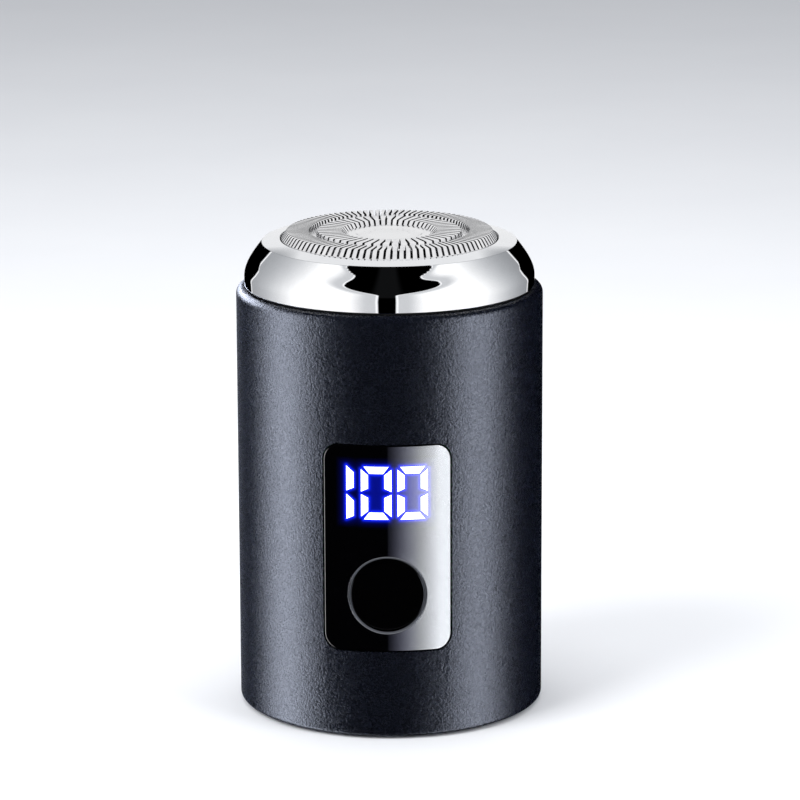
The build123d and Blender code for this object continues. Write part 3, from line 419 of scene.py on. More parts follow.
def pressed_foam():
    m = Shader("pressed_foam", (0.05, 0.05, 0.052), 0.95)
    pores = m.cells(0.35 * MM)
    m.blend_colour(pores.outputs["Distance"], (0.09, 0.09, 0.09), (0.015, 0.015, 0.016))
    m.bump(pores.outputs["Distance"], 0.1 * MM)
    return m.material


def paint(node, material):
    """Gives a CAD node's object a material."""
    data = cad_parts[node].data
    data.materials.clear()
    data.materials.append(material)


def dress(obj, material, *replaced, slot):
    """Gives a piece its material, and hides the CAD nodes that it stands for; slot is not used."""
    obj.data.materials.append(material)
    if replaced:
        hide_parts(*replaced)
    return obj


# ---------------------------------------------------------------- body
def outer_sleeve():
    """The sleeve: a turned tube with small rounds, cut through where the panel sits."""
    bore = 20.9 * MM
    outline = [(bore, SLEEVE_LOW), (BODY_R, SLEEVE_LOW), (BODY_R, SLEEVE_TOP), (bore, SLEEVE_TOP)]
    sleeve = lathe("sleeve", outline, "root", {0: 0.2 * MM, 1: 0.6 * MM, 2: 1.05 * MM, 3: 0.3 * MM}, 360, 8)
    cut = [wrap(s, z) for s, z in panel_outline(0)]
    count = len(cut)
    verts = [(p.x, y, p.z) for y in (-30 * MM, -15 * MM) for p in cut]
    faces = bridge(count, 2) + [list(range(count)), list(range(2 * count - 1, count - 1, -1))]
    cutter = new_object("sleeve_cutter", verts, faces, None)
    cutter.modifiers.clear()
    work = sleeve.modifiers.new("window", "BOOLEAN")
    work.operation, work.solver, work.object = "DIFFERENCE", "EXACT", cutter
    sleeve.modifiers.move(1, 0)
    apply_modifiers(sleeve)
    bpy.data.objects.remove(cutter, do_unlink=True)
    tidy_normals(sleeve, 40)
    return dress(sleeve, leather_grain(), "outer_sleeve", slot="sleeve")


def apply_modifiers(obj):
    """Replaces an object's mesh by what its modifiers make."""
    evaluated = obj.evaluated_get(bpy.context.evaluated_depsgraph_get())
    mesh = bpy.data.meshes.new_from_object(evaluated)
    obj.modifiers.clear()
    obj.data = mesh


# ---------------------------------------------------------------- panel, button and digits
LENS_OUT = -0.04 * MM  # the lens lies this much under the body's radius
GLOW_OUT = -0.025 * MM
BAR_OUT = -0.005 * MM


def display_lens():
    """The panel: a curved black sheet with a rounded edge and the button's hole."""
    centre = (0.0, BUTTON_Z)
    edge_round = 0.28 * MM
    gap = 0.1 * MM
    rings = [(panel_outline(gap), LENS_OUT - 0.95 * MM)]
    for k in range(7):
        turn = math.pi / 2 * k / 6
        inward, down = edge_round * (1 - math.cos(turn)), edge_round * (1 - math.sin(turn))
        rings.append((panel_outline(gap + inward), LENS_OUT - down))
    verts = []
    for outline, out in rings:
        verts += [wrap(s, z, out) for s, z in outline]
    outer = rings[-1][0]
    count = len(outer)
    hole = COLLAR_R + 0.01 * MM
    steps = 10
    for k in range(1, steps + 1):
        t = k / steps
        for s, z in outer:
            away = Vector((s - centre[0], z - centre[1]))
            rim = away.normalized() * hole
            at = away.lerp(rim, t)
            verts.append(wrap(centre[0] + at.x, centre[1] + at.y, LENS_OUT))
    for s, z in outer:
        rim = Vector((s - centre[0], z - centre[1])).normalized() * hole
        verts.append(wrap(centre[0] + rim.x, centre[1] + rim.y, LENS_OUT - 0.95 * MM))
    total = len(verts) // count
    faces = bridge(count, total)
    last = (total - 1) * count
    faces += [[k, last + k, last + (k + 1) % count, (k + 1) % count] for k in range(count)]
    lens = new_object("lens", verts, faces, "root", 50)
    return dress(lens, piano_black("lens_black").material, "display_lens", slot="lens")


def button_collar():
    """The thin bright ring round the button, following the panel's curve."""
    inner, lip = 5.5 * MM, 5.69 * MM
    step, back = -0.3 * MM, -0.9 * MM
    outline = [(inner, back), (inner, step), (lip, step), (lip, 0), (COLLAR_R, 0), (COLLAR_R, back)]
    section = rounded(outline, {3: 0.06 * MM, 4: 0.06 * MM}, 5)
    around = 160
    verts = []
    for radius, out in section:
        for k in range(around):
            turn = TURN * k / around
            verts.append(wrap(radius * math.cos(turn), BUTTON_Z + radius * math.sin(turn), out - 0.002 * MM))
    count = len(section)
    faces = bridge(around, count)
    last = (count - 1) * around
    faces += [[last + k, last + (k + 1) % around, (k + 1) % around, k] for k in range(around)]
    collar = new_object("collar", verts, faces, "root", 50)
    chrome = worked_metal("collar_chrome", (0.3, 0.31, 0.34), 0.16)
    return dress(collar, chrome, "button_ring", slot="bright_trim")


def power_button():
    """The button: a flat black cap with a small round at its edge, its skirt and its middle stem."""
    face, back = button_low.y, button_high.y
    skirt_end, inside = -19.2 * MM, face + 1.0 * MM
    skirt_r, stem_r = 4.4 * MM, 1.5 * MM
    outline = [(0, face), (BUTTON_R, face), (BUTTON_R, skirt_end), (skirt_r, skirt_end), (skirt_r, inside),
               (stem_r, inside), (stem_r, back), (0, back)]
    profile = rounded(outline, {1: 0.3 * MM}, 8)
    around = 160
    verts = []
    for radius, y in profile:
        for k in range(around):
            turn = TURN * k / around
            verts.append((radius * math.cos(turn), y, BUTTON_Z + radius * math.sin(turn)))
    button = new_object("button", verts, bridge(around, len(profile)), "button", 40)
    black = piano_black("button_black", (0.0004, 0.0004, 0.0005), 0.08, 1.3).material
    return dress(button, black, "power_button", slot="button_black")


BAR = 1.03 * MM  # how thick a bar of a digit is
DIGIT_HALF_WIDTH, DIGIT_HALF_HEIGHT = 2.2 * MM, 3.9 * MM
DIGIT_MIDDLES = (-1.56 * MM, 3.70 * MM)


def digit_bars():
    """(s, z) outlines of a digit's six lit bars, about its middle."""
    a, b, t = DIGIT_HALF_WIDTH, DIGIT_HALF_HEIGHT, BAR
    n = 0.4 * MM
    top = [(n - a, b), (a - n, b), (a - t - 0.17 * MM, b - t), (t + 0.17 * MM - a, b - t)]
    side = [(a, b - n), (a, 0.2 * MM), (a - t, 0.68 * MM), (a - t, b - 1.25 * MM)]
    upper = [top, side, [(-s, z) for s, z in side]]
    return upper + [[(s, -z) for s, z in bar] for bar in upper]


def all_bars():
    """Every lit bar as an (s, z) outline on the panel."""
    one = [(-0.55 * MM, 3.95 * MM), (0.55 * MM, 3.0 * MM), (0.55 * MM, 0.75 * MM), (-0.55 * MM, 0.25 * MM)]
    placed = [[(s - 5.37 * MM, z + drop + DIGITS_Z) for s, z in one] for drop in (0, -4.2 * MM)]
    for middle in DIGIT_MIDDLES:
        placed += [[(s + middle, z + DIGITS_Z) for s, z in bar] for bar in digit_bars()]
    return placed


def inside_polygon(s, z, outline):
    inside = False
    for (s0, z0), (s1, z1) in zip(outline, outline[1:] + outline[:1]):
        if (z0 > z) != (z1 > z) and s < (s1 - s0) * (z - z0) / (z1 - z0) + s0:
            inside = not inside
    return inside


def distance_to(s, z, outline):
    """Distance from a point to an outline, 0 inside it."""
    if inside_polygon(s, z, outline):
        return 0.0
    best = 1.0
    for (s0, z0), (s1, z1) in zip(outline, outline[1:] + outline[:1]):
        ds, dz = s1 - s0, z1 - z0
        t = max(0.0, min(1.0, ((s - s0) * ds + (z - z0) * dz) / (ds * ds + dz * dz)))
        best = min(best, math.hypot(s - s0 - t * ds, z - z0 - t * dz))
    return best


def counter_fill(s, z):
    """1 inside a zero, where light from all its bars gathers, falling to 0 at its bars."""
    fill = 0.0
    for middle in DIGIT_MIDDLES:
        beside = DIGIT_HALF_WIDTH - BAR / 2 - abs(s - middle)
        under = DIGIT_HALF_HEIGHT - BAR / 2 - abs(z - DIGITS_Z)
        fill = max(fill, smooth_step(0.0, 0.5 * MM, min(beside, under)))
    return fill


def lit_bars(bars):
    """The lit bars as thin curved tiles."""
    verts, faces = [], []
    for outline in bars:
        work = bmesh.new()
        ring = [work.verts.new((s, z, 0)) for s, z in outline]
        work.faces.new(ring)
        bmesh.ops.triangulate(work, faces=work.faces[:])
        bmesh.ops.subdivide_edges(work, edges=work.edges[:], cuts=3, use_grid_fill=True)
        work.verts.index_update()
        base = len(verts)
        flat = [(v.co.x, v.co.y) for v in work.verts]
        count = len(flat)
        verts += [wrap(s, z, BAR_OUT) for s, z in flat] + [wrap(s, z, BAR_OUT - 0.03 * MM) for s, z in flat]
        for face in work.faces:
            ids = [v.index for v in face.verts]
            faces.append([base + i for i in ids])
            faces.append([base + count + i for i in reversed(ids)])
        for edge in work.edges:
            if edge.is_boundary:
                a, b = (v.index for v in edge.verts)
                faces.append([base + a, base + b, base + count + b, base + count + a])
        work.free()
    tiles = new_object("digit_bars", verts, faces, "root", 40)
    return dress(tiles, lit_bar(), "lit_segments", slot="segment_white")


def glow_tile(bars):
    """A thin tile of the lens over the display that carries the blue light round the bars."""
    across, up = 236, 164
    half_s, half_z = 7.6 * MM, 5.3 * MM
    verts, spill = [], []
    for j in range(up + 1):
        z = DIGITS_Z - half_z + 2 * half_z * j / up
        for i in range(across + 1):
            s = -half_s + 2 * half_s * i / across
            verts.append(wrap(s, z, GLOW_OUT))
            away = min(distance_to(s, z, bar) for bar in bars) / MM
            edge = min(half_s - abs(s), half_z - abs(z - DIGITS_Z)) / (1.0 * MM)
            near = math.exp(-((away / 0.3) ** 2)) * 0.85 + 0.14 * math.exp(-away / 0.6)
            spill.append((near + 0.17 * counter_fill(s, z)) * max(0.0, min(1.0, edge)))
    front = []
    for j in range(up):
        for i in range(across):
            here, above = j * (across + 1) + i, (j + 1) * (across + 1) + i
            front.append([here, here + 1, above + 1, above])
    tile = new_object("lens_over_display", verts, front, "root", 60)
    layer = tile.data.attributes.new("spill", "FLOAT", "POINT")
    layer.data.foreach_set("value", spill)
    return dress(tile, display_glow(), slot="lens")


# ---------------------------------------------------------------- head
def head_ring():
    """The chrome ring: a short wall that curves over, in one sweep, into a cone up to the rim."""
    wall = 1.2 * MM
    rim_r, seat_r = 18.7 * MM, 15.95 * MM
    bend = SLEEVE_TOP + 1.6 * MM
    seat = RIM_Z + 0.55 * MM
    under = seat - 1.1 * MM
    lean = math.radians(39)
    pull = (HEAD_R, bend + 1.5 * MM), (rim_r + 2.2 * MM * math.sin(lean), RIM_Z - 2.2 * MM * math.cos(lean))
    start, end = Vector((HEAD_R, bend)), Vector((rim_r, RIM_Z))
    sweep = []
    for k in range(49):
        t = k / 48
        point = (1 - t) ** 3 * start + 3 * t * (1 - t) ** 2 * Vector(pull[0])
        point += 3 * t * t * (1 - t) * Vector(pull[1]) + t ** 3 * end
        sweep.append(tuple(point))
    outline = [(HEAD_R, ring_low.z), *sweep, (seat_r, seat), (seat_r, under),
               (rim_r - 0.35 * MM, under), (HEAD_R - wall, bend + 0.8 * MM), (HEAD_R - wall, ring_low.z)]
    rim = len(sweep)
    rounds = {0: 0.15 * MM, rim: 0.06 * MM, rim + 1: 0.2 * MM}
    ring = lathe("chrome_ring", outline, "head", rounds, 384, 10, 30)
    return dress(ring, mirror_chrome(), "head_ring", slot="head_chrome")


FOIL_SLOTS = 100
SLOT_SLANT = math.radians(7)
FOIL_THICK = 0.25 * MM


def foil_profile():
    """The foil's upper face from its flange in to its middle, as (radius, height) points."""
    low, top = (FOIL_TOP - 0.8 * MM) / MM, FOIL_TOP / MM
    shoulder = (RIM_Z + 0.45 * MM) / MM
    flange = foil_low.z / MM + 0.25
    corners = [
        (17.3, flange), (15.8, flange), (15.8, shoulder), (15.0, top), (11.8, top), (11.6, low), (10.7, low),
        (10.5, top), (7.0, top), (6.4, low), (0.0, low),
    ]
    rounds = {1: 0.1, 2: 0.15, 3: 0.4, 4: 0.13, 5: 0.06, 6: 0.06, 7: 0.13, 8: 0.22, 9: 0.1}
    path = rounded([(17.3, 0.0)] + corners + [(0.0, 0.0)], {k + 1: v for k, v in rounds.items()}, 4)[1:-1]
    return [(r * MM, z * MM) for r, z in path]


def outer_foil():
    """The foil as a thin sheet of constant thickness, open at every slot."""
    profile = foil_profile()
    # more rings along the flat tops, so that slots follow their slant
    dense = []
    for (r0, z0), (r1, z1) in zip(profile, profile[1:]):
        pieces = max(1, round(math.hypot(r1 - r0, z1 - z0) / (0.8 * MM)))
        dense += [(r0 + (r1 - r0) * k / pieces, z0 + (z1 - z0) * k / pieces) for k in range(pieces)]
    dense.append(profile[-1])
    dense[-1] = (0.05 * MM, dense[-1][1])
    low = FOIL_TOP - 0.8 * MM

    def open_at(r, z):
        outer = r > 11.55 * MM and (z > low - 0.12 * MM) and r < 15.85 * MM and z > RIM_Z + 0.62 * MM
        inner = 6.5 * MM < r < 10.75 * MM and z > low + 0.1 * MM
        return "outer" if outer else "inner" if inner else None

    normals = []
    for i, (r, z) in enumerate(dense):
        r0, z0 = dense[max(i - 1, 0)]
        r1, z1 = dense[min(i + 1, len(dense) - 1)]
        along = Vector((r1 - r0, z1 - z0)).normalized()
        normals.append(Vector((along.y, -along.x)))
    parts = 6  # columns for each slot pitch: the slot, then five of bar
    columns = FOIL_SLOTS * parts
    top, under = [], []
    for (r, z), n in zip(dense, normals):
        width = 0.37 * MM
        half = min(width / 2 / max(r, 5 * MM), TURN / FOIL_SLOTS * 0.35)
        skew = -math.tan(SLOT_SLANT) * (r - 13 * MM) / (13 * MM)
        if r < 11.2 * MM:
            skew = -math.tan(SLOT_SLANT) * (r - 8.7 * MM) / (8.7 * MM)
        for j in range(FOIL_SLOTS):
            middle = TURN * j / FOIL_SLOTS + skew
            pitch = TURN / FOIL_SLOTS
            for k in range(parts):
                turn = middle - half if k == 0 else middle + half + (pitch - 2 * half) * (k - 1) / (parts - 1)
                direction = Vector((math.cos(turn), math.sin(turn)))
                top.append((r * direction.x, r * direction.y, z))
                rr, zz = r - n.x * FOIL_THICK, z - n.y * FOIL_THICK
                under.append((rr * direction.x, rr * direction.y, zz))
    offset = len(top)
    kept = {}
    for i in range(len(dense) - 1):
        mid_r, mid_z = (dense[i][0] + dense[i + 1][0]) / 2, (dense[i][1] + dense[i + 1][1]) / 2
        zone = open_at(mid_r, mid_z)
        for j in range(columns):
            slot_column = j % parts == 0
            is_open = slot_column and (zone == "outer" or (zone == "inner" and (j // parts) % 2 == 0))
            kept[i, j] = not is_open
    faces, slots = [], []
    for (i, j), keep in kept.items():
        if not keep:
            continue
        m = (j + 1) % columns
        a, b, c, d = i * columns + j, i * columns + m, (i + 1) * columns + m, (i + 1) * columns + j
        faces.append([a, b, c, d])
        faces.append([offset + d, offset + c, offset + b, offset + a])
        slots += [0, 1]
        before = (j - 1) % columns
        sides = (((i - 1, j), (a, b)), ((i + 1, j), (c, d)), ((i, before), (d, a)), ((i, m), (b, c)))
        for beside, (p, q) in sides:
            if not kept.get(beside, False):
                faces.append([q, p, offset + p, offset + q])
                slots.append(1)
    foil = new_object("foil", top + under, faces, "foil", 38, slots)
    dress(foil, ground_foil(), "outer_foil", slot="foil_steel")
    # the slot walls and underside take the near-black painted shade
    foil.data.materials.append(painted_slot_shade())
    return foil


def foil_centre_cap():
    """The plain disc in the foil's middle: a low rim round a shallow dish, with a faint turned boss."""
    base, top = cap_low.z, cap_high.z
    outline = [(0, base), (6.1 * MM, base), (6.1 * MM, top), (4.9 * MM, top), (4.5 * MM, top - 0.14 * MM),
               (3.1 * MM, top - 0.14 * MM), (2.9 * MM, top - 0.09 * MM), (0, top - 0.09 * MM)]
    rounds = {2: 0.12 * MM, 3: 0.2 * MM, 4: 0.2 * MM, 5: 0.1 * MM, 6: 0.1 * MM}
    cap = lathe("centre_cap", outline, "foil", rounds, 192, 5, 40)
    polished = worked_metal("polished_cap", (0.88, 0.88, 0.89), 0.13, (1, 1, 1), 0.4 * MM, 0.0006 * MM)
    return dress(cap, polished, "foil_centre_cap", slot="foil_polished")


def drive_spring():
    """The coil under the spindle, which turns with the motor; it is made at one length and does not shorten as
    the foil is pressed.
    """
    low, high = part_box("drive_spring")
    wire, turns, seat = 0.2 * MM, 4, 56.0 * MM
    coil = high.x - wire
    rise = high.z - low.z - 2 * wire
    around, steps = 12, 40 * turns
    verts = []
    for i in range(steps + 1):
        turn = TURN * turns * i / steps
        outward = Vector((math.cos(turn), math.sin(turn), 0))
        middle = outward * coil + Vector((0, 0, low.z + wire + rise * i / steps))
        for k in range(around):
            roll = TURN * k / around
            verts.append(middle + outward * wire * math.cos(roll) + Vector((0, 0, wire * math.sin(roll))))
    faces = bridge(around, steps + 1)
    faces += [list(range(around)), list(range(steps * around, (steps + 1) * around))]
    spring = new_object("coil_spring", verts, faces, "rotor", 50)
    spring.modifiers.clear()
    dress(spring, worked_metal("spring_wire", (0.62, 0.62, 0.64), 0.22), "drive_spring", slot="spring_steel")
    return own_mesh(spring)


# ---------------------------------------------------------------- underside
def rubber_foot():
    """The ring that the shaver stands on."""
    inner, outer = 17.6 * MM, 19.4 * MM
    outline = [(inner, foot_low.z), (outer, foot_low.z), (outer, foot_high.z), (inner, foot_high.z)]
    foot = lathe("foot", outline, "root", {0: 0.15 * MM, 1: 0.15 * MM}, 200, 4)
    return dress(foot, soft_rubber(), "rubber_foot", slot="seal_rubber")


# ---------------------------------------------------------------- CAD nodes kept as they are
def paint_frame():
    """Materials for the CAD nodes whose own shapes are shown."""
    black = moulded("black_plastic", (0.014, 0.014, 0.015), 0.5)
    natural = moulded("natural_plastic", (0.6, 0.6, 0.57), 0.45, shade=0.9)
    acetal = moulded("white_acetal", (0.68, 0.68, 0.66), 0.35, shade=0.93)
    dark_acetal = moulded("dark_acetal", (0.035, 0.035, 0.038), 0.4)
    epoxy = moulded("moulded_epoxy", (0.014, 0.014, 0.015), 0.42, 0.08 * MM)
    ceramic = moulded("chip_ceramic", (0.33, 0.22, 0.12), 0.4, 0.1 * MM)
    rubber = soft_rubber("black_silicone")
    zinc = worked_metal("zinc_steel", (0.56, 0.57, 0.6), 0.3, (1, 1, 1), 0.3 * MM)
    drawn = worked_metal("drawn_steel", (0.6, 0.6, 0.61), 0.26, (1, 1, 0.1))
    ground = worked_metal("ground_shaft", (0.68, 0.68, 0.7), 0.15, (1, 1, 8))
    nickel = worked_metal("nickel_plate", (0.66, 0.63, 0.57), 0.18, (1, 1, 1), 0.6 * MM)
    gold = worked_metal("gold_flash", (0.86, 0.6, 0.22), 0.2, (1, 1, 1))
    bronze = worked_metal("sintered_bronze", (0.5, 0.33, 0.16), 0.45, (1, 1, 1), 0.15 * MM, 0.01 * MM)
    iron = worked_metal("stacked_iron", (0.28, 0.28, 0.3), 0.4, (0.05, 0.05, 3), 0.3 * MM, 0.02 * MM)
    ferrite = moulded("ferrite", (0.03, 0.03, 0.033), 0.55, 0.2 * MM, 0.02 * MM)
    blade = worked_metal("blade_steel", (0.5, 0.5, 0.53), 0.22, (6, 6, 1), 0.2 * MM)
    tape = moulded("black_tape", (0.02, 0.02, 0.02), 0.8, 0.1 * MM, 0.02 * MM)
    wrap_blue = moulded("cell_wrap", (0.01, 0.07, 0.2), 0.25, 2 * MM, 0.02 * MM)
    red = moulded("red_insulation", (0.4, 0.01, 0.01), 0.35)
    black_wire = moulded("black_insulation", (0.012, 0.012, 0.012), 0.35)
    diffuser = moulded("unlit_diffuser", (0.02, 0.02, 0.03), 0.4)
    copper = wound_copper()
    for material, nodes in (
        (black, ("base_cap", "hair_pocket", "head_liner", "retaining_frame")),
        (natural, ("inner_frame", "motor_end_cap")),
        (acetal, ("drive_coupling", "drive_spindle")),
        (dark_acetal, ("cutter_carrier",)),
        (epoxy, ("switch_body", "switch_plunger", "display_module", "board_chips", "usb_tongue")),
        (ceramic, ("small_components",)),
        (rubber, ("base_seal", "pocket_seal", "shaft_seal", "head_gasket")),
        (zinc, ("base_screws", "board_screws", "motor_screws", "pocket_screws")),
        (drawn, ("motor_can", "usb_shell")),
        (ground, ("motor_shaft",)),
        (nickel, ("battery_tabs", "pocket_magnets", "head_magnets")),
        (gold, ("usb_contacts", "motor_terminals")),
        (bronze, ("motor_bushes",)),
        (iron, ("motor_armature",)),
        (ferrite, ("motor_magnets",)),
        (blade, ("cutter_blades",)),
        (tape, ("lens_tape",)),
        (wrap_blue, ("battery_cell",)),
        (red, ("battery_lead_red", "motor_lead_red")),
        (black_wire, ("battery_lead_black", "motor_lead_black")),
        (diffuser, ("unlit_segments",)),
        (circuit_board(), ("main_board",)),
        (copper, ("motor_windings", "commutator")),
        (pressed_foam(), ("foam_pad",)),
    ):
        for node in nodes:
            paint(node, material)


# ---------------------------------------------------------------- studio
def smooth_step(low, high, value):
    t = max(0.0, min(1.0, (value - low) / (high - low)))
    return t * t * (3 - 2 * t)


def band(value, low, high, soft):
    """1 between low and high, falling to 0 over soft outside."""
    return smooth_step(low - soft, low, value) * (1 - smooth_step(high, high + soft, value))


def grey(level, cool=0.04):
    """A level of light, a little cooler where it is dimmer."""
    tint = cool * (1 - min(level, 1.0))
    return (level * (1 - tint), level, level * (1 + 1.6 * tint))


FLAG_LEFT = (9, 44, 40)  # half-widths in degrees of the dark flag in front: stem, canopy and waist
FLAG_RIGHT = (5, 50, 36)
FLAG_TOP = 57
BOX_FULL, BOX_DIM = 1.25, 0.7  # the white boxes' level in the open, and beside the flag
BOX_END = 80  # degrees round, from where the boxes get dimmer towards the back
FAR_LEFT, FAR_RIGHT = 0.33, 0.27  # how much of their light is left at the back


def chrome_light(az, el):
    """What the chrome ring sees: a tall white box each side, and a dark flag, roof and corners."""
    side = abs(az)
    stem, canopy, waist = FLAG_LEFT if az < 0 else FLAG_RIGHT
    width = stem + (canopy - stem) * smooth_step(28, 46, el)
    width += (waist - canopy) * smooth_step(48, 56, el)
    width += (FLAG_TOP - waist) * smooth_step(57, 60, el)
    past = side - width
    front = smooth_step(-0.4, 0.4, past)
    corner = 142 - 8 * smooth_step(-10, 10, el) + 5 * smooth_step(13, 16, el)
    edge = corner - side
    far = FAR_LEFT if az < 0 else FAR_RIGHT
    back = max(0.0, min(1.0, (side - BOX_END) / (142 - BOX_END)))
    level = BOX_DIM + (BOX_FULL - BOX_DIM) * smooth_step(8, 26, past)
    level = max(level, 1.1 * (1 - smooth_step(1.6, 3, past))) * (far + (1 - far) * (1 - back) ** 2)
    if 0 < edge < 2.2:
        level = 1.0
    roof = 92 - 0.43 * side
    boxes = level * front * smooth_step(-0.4, 0.4, edge) * (1 - smooth_step(roof - 1, roof + 1, el))
    glimmer = 0.006 * band(az, -10, 6, 8) * smooth_step(18, 24, el) * (1 - front)
    behind = 0.9 * smooth_step(171, 172, side) * smooth_step(-11.5, -10, el) * (1 - smooth_step(46, 52, el))
    rim = 0.16 * smooth_step(roof - 1, roof + 1, el)
    return grey(max(boxes + glimmer, behind, rim))


def sleeve_light(az, el):
    """What the sleeve sees: a tall box on each side and a lamp behind to the left, for its shoulder."""
    tall = band(el, -60, 30, 12)
    level = 8.8 * band(az, -96, -76, 8) * tall + 9.4 * band(az, 62, 75, 7) * tall
    level += 0.2 * band(az, -180, -158, 8) * tall
    level += 7.5 * band(az, -164, -120, 8) * band(el, 10, 28, 6)
    return (0.97 * level, 1.05 * level, 1.27 * level)


CARD_EDGE = -1.6  # degrees round, where the card that the panel reflects begins
CARD_GRADE = 0.022  # how much lighter to the eye the card gets with each degree
CARD_FIRST = 0.11  # how light it is at its edge
CARD_FULL = 46.0


def lens_light(az, el):
    """What the panel sees: a card to the right, graded evenly to the eye, and a strip for its left edge."""
    shade = min(CARD_FIRST + CARD_GRADE * (az - CARD_EDGE), 0.97)
    card = CARD_FULL * shade ** 2.2 if az > CARD_EDGE else 0.0
    card *= band(az, CARD_EDGE, 70, 0.01) * band(el, -45, 20, 5)
    strip = 14.0 * band(az, -165, -70, 5) * band(el, -45, 5, 5)
    return tuple(card * c + strip for c in (0.96, 1.0, 1.06 + 0.5 * max(0.0, 1 - shade * 1.6)))


def room_light(az, el):
    """What bare metal and everything inside sees: a soft bright room, darker low down."""
    return grey(0.25 + 0.72 * smooth_step(-15, 20, el))


def light_dome(name, light, seen_by, fine, facing):
    """A dome of light far round the shaver that only some pieces reflect, coloured at each vertex."""
    radius = 1.5
    columns, low, high = round(360 / fine), -75, 89
    rows = round((high - low) / fine)
    verts, colours = [], []
    for j in range(rows + 1):
        el = low + (high - low) * j / rows
        for i in range(columns):
            az = -180 + 360 * i / columns
            up, turn = math.radians(el), math.radians(az) + facing
            reach = radius * math.cos(up)
            verts.append((reach * math.sin(turn), -reach * math.cos(turn), radius * math.sin(up)))
            colours.extend((*light(az, el), 1.0))
    faces = bridge(columns, rows + 1) + [list(range(rows * columns, (rows + 1) * columns))]
    mesh = bpy.data.meshes.new(name)
    mesh.from_pydata(verts, [], faces)
    mesh.attributes.new("light", "FLOAT_COLOR", "POINT").data.foreach_set("color", colours)
    material = bpy.data.materials.new(name)
    material.use_nodes = True
    material.cycles.emission_sampling = "NONE"
    tree = material.node_tree
    tree.nodes.clear()
    out = tree.nodes.new("ShaderNodeOutputMaterial")
    both = tree.nodes.new("ShaderNodeAddShader")
    glow = tree.nodes.new("ShaderNodeEmission")
    clear = tree.nodes.new("ShaderNodeBsdfTransparent")
    colour = tree.nodes.new("ShaderNodeAttribute")
    colour.attribute_name = "light"
    tree.links.new(colour.outputs["Color"], glow.inputs["Color"])
    tree.links.new(glow.outputs["Emission"], both.inputs[0])
    tree.links.new(clear.outputs["BSDF"], both.inputs[1])
    tree.links.new(both.outputs["Shader"], out.inputs["Surface"])
    mesh.materials.append(material)
    dome = bpy.data.objects.new(name, mesh)
    bpy.context.scene.collection.objects.link(dome)
    dome.visible_camera = dome.visible_diffuse = dome.visible_shadow = dome.visible_transmission = False
    receivers = bpy.data.collections.new(name + "_seen_by")
    for piece in seen_by:
        receivers.objects.link(piece)
    dome.light_linking.receiver_collection = receivers


def area_light(name, place, target, size, power, colour=(1, 1, 1)):
    """A soft box that lights but doesn't show in reflections."""
    data = bpy.data.lights.new(name, "AREA")
    data.shape, data.size, data.size_y = "RECTANGLE", size[0], size[1]
    data.energy, data.color = power, colour
    lamp = bpy.data.objects.new(name, data)
    lamp.location = place
    lamp.rotation_euler = (Vector(target) - Vector(place)).to_track_quat("-Z", "Y").to_euler()
    lamp.visible_glossy = False
    bpy.context.scene.collection.objects.link(lamp)
    return lamp


def studio():
    """A pale floor, a pale surround and soft boxes."""
    size = 6.0
    mesh = bpy.data.meshes.new("floor")
    corners = [(-size, -size, 0), (size, -size, 0), (size, size, 0), (-size, size, 0)]
    mesh.from_pydata(corners, [], [[0, 1, 2, 3]])
    floor = bpy.data.objects.new("floor", mesh)
    floor.location.z = -0.02 * MM
    floor.visible_glossy = False
    bpy.context.scene.collection.objects.link(floor)
    m = Shader("pale_floor", (0.72, 0.73, 0.75), 1.0, Specular_IOR_Level=0.0)
    drift = m.noise(60 * MM, detail=3)
    m.blend_colour(drift.outputs["Fac"], (0.7, 0.71, 0.735), (0.74, 0.75, 0.77))
    mesh.materials.append(m.material)
    world = bpy.data.worlds.new("surround")
    bpy.context.scene.world = world
    world.use_nodes = True
    world.cycles_visibility.glossy = False
    world.node_tree.nodes["Background"].inputs["Color"].default_value = (0.78, 0.8, 0.84, 1)
    world.node_tree.nodes["Background"].inputs["Strength"].default_value = 0.55
    target = (0, 0, 0.035)
    area_light("key", (-0.45, -0.35, 0.5), target, (0.35, 0.5), 5.0)
    area_light("fill", (0.5, -0.3, 0.35), target, (0.3, 0.45), 2.2)
    area_light("top", (0.0, 0.1, 0.6), target, (0.4, 0.4), 2.5)


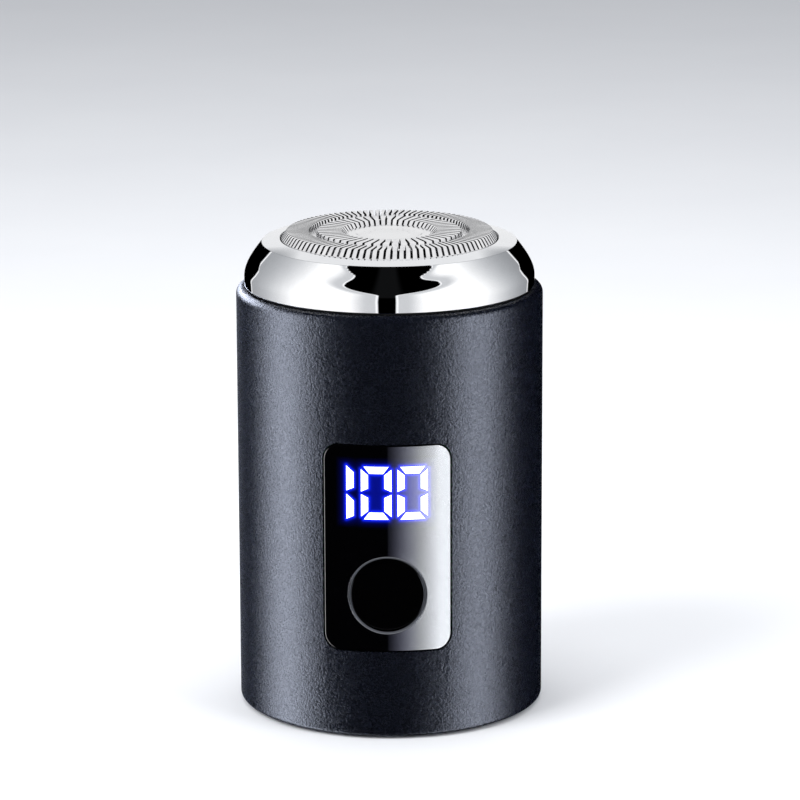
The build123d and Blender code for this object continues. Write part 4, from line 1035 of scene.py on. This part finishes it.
CAMERA_LENS = 189.1
CAMERA_AWAY, CAMERA_HEIGHT = 0.60287, 0.19318
CAMERA_PITCH, CAMERA_YAW, CAMERA_ROLL = 0.24072, 0.002467, -0.003521
CAMERA_AZIMUTH = math.radians(1.2)


def camera():
    """A long lens, a little above the head's height, looking slightly down."""
    data = bpy.data.cameras.new("camera")
    data.lens, data.sensor_width, data.sensor_fit = CAMERA_LENS, 36.0, "HORIZONTAL"
    data.clip_start, data.clip_end = 0.01, 50
    level = math.cos(CAMERA_PITCH)
    forward = Vector((math.sin(CAMERA_YAW) * level, math.cos(CAMERA_YAW) * level, -math.sin(CAMERA_PITCH)))
    right = Vector((math.cos(CAMERA_YAW), -math.sin(CAMERA_YAW), 0))
    up = right.cross(forward)
    over, across = math.cos(CAMERA_ROLL), math.sin(CAMERA_ROLL)
    right, up = over * right + across * up, over * up - across * right
    turned = Matrix((right, up, -forward)).transposed().to_4x4()
    turned.translation = (0, -CAMERA_AWAY, CAMERA_HEIGHT)
    cam = bpy.data.objects.new("camera", data)
    cam.matrix_world = Matrix.Rotation(CAMERA_AZIMUTH, 4, "Z") @ turned
    bpy.context.scene.collection.objects.link(cam)
    bpy.context.scene.camera = cam


# ---------------------------------------------------------------- build
bpy.context.scene.view_settings.view_transform = "Standard"
camera()
studio()
sleeve = outer_sleeve()
lens = display_lens()
bars = all_bars()
tile = glow_tile(bars)
digits = lit_bars(bars)
collar = button_collar()
button = power_button()
ring = head_ring()
foil = outer_foil()
cap = foil_centre_cap()
spring = drive_spring()
foot = rubber_foot()
paint_frame()

cad_pieces = list(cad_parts.values())
light_dome("chrome_dome", chrome_light, [ring], 0.5, CAMERA_AZIMUTH)
light_dome("sleeve_dome", sleeve_light, [sleeve, foot, button], 1.5, CAMERA_AZIMUTH)
light_dome("lens_dome", lens_light, [lens, tile], 0.75, CAMERA_AZIMUTH)
light_dome("room_dome", room_light, [foil, cap, spring, collar, digits] + cad_pieces, 5, CAMERA_AZIMUTH)
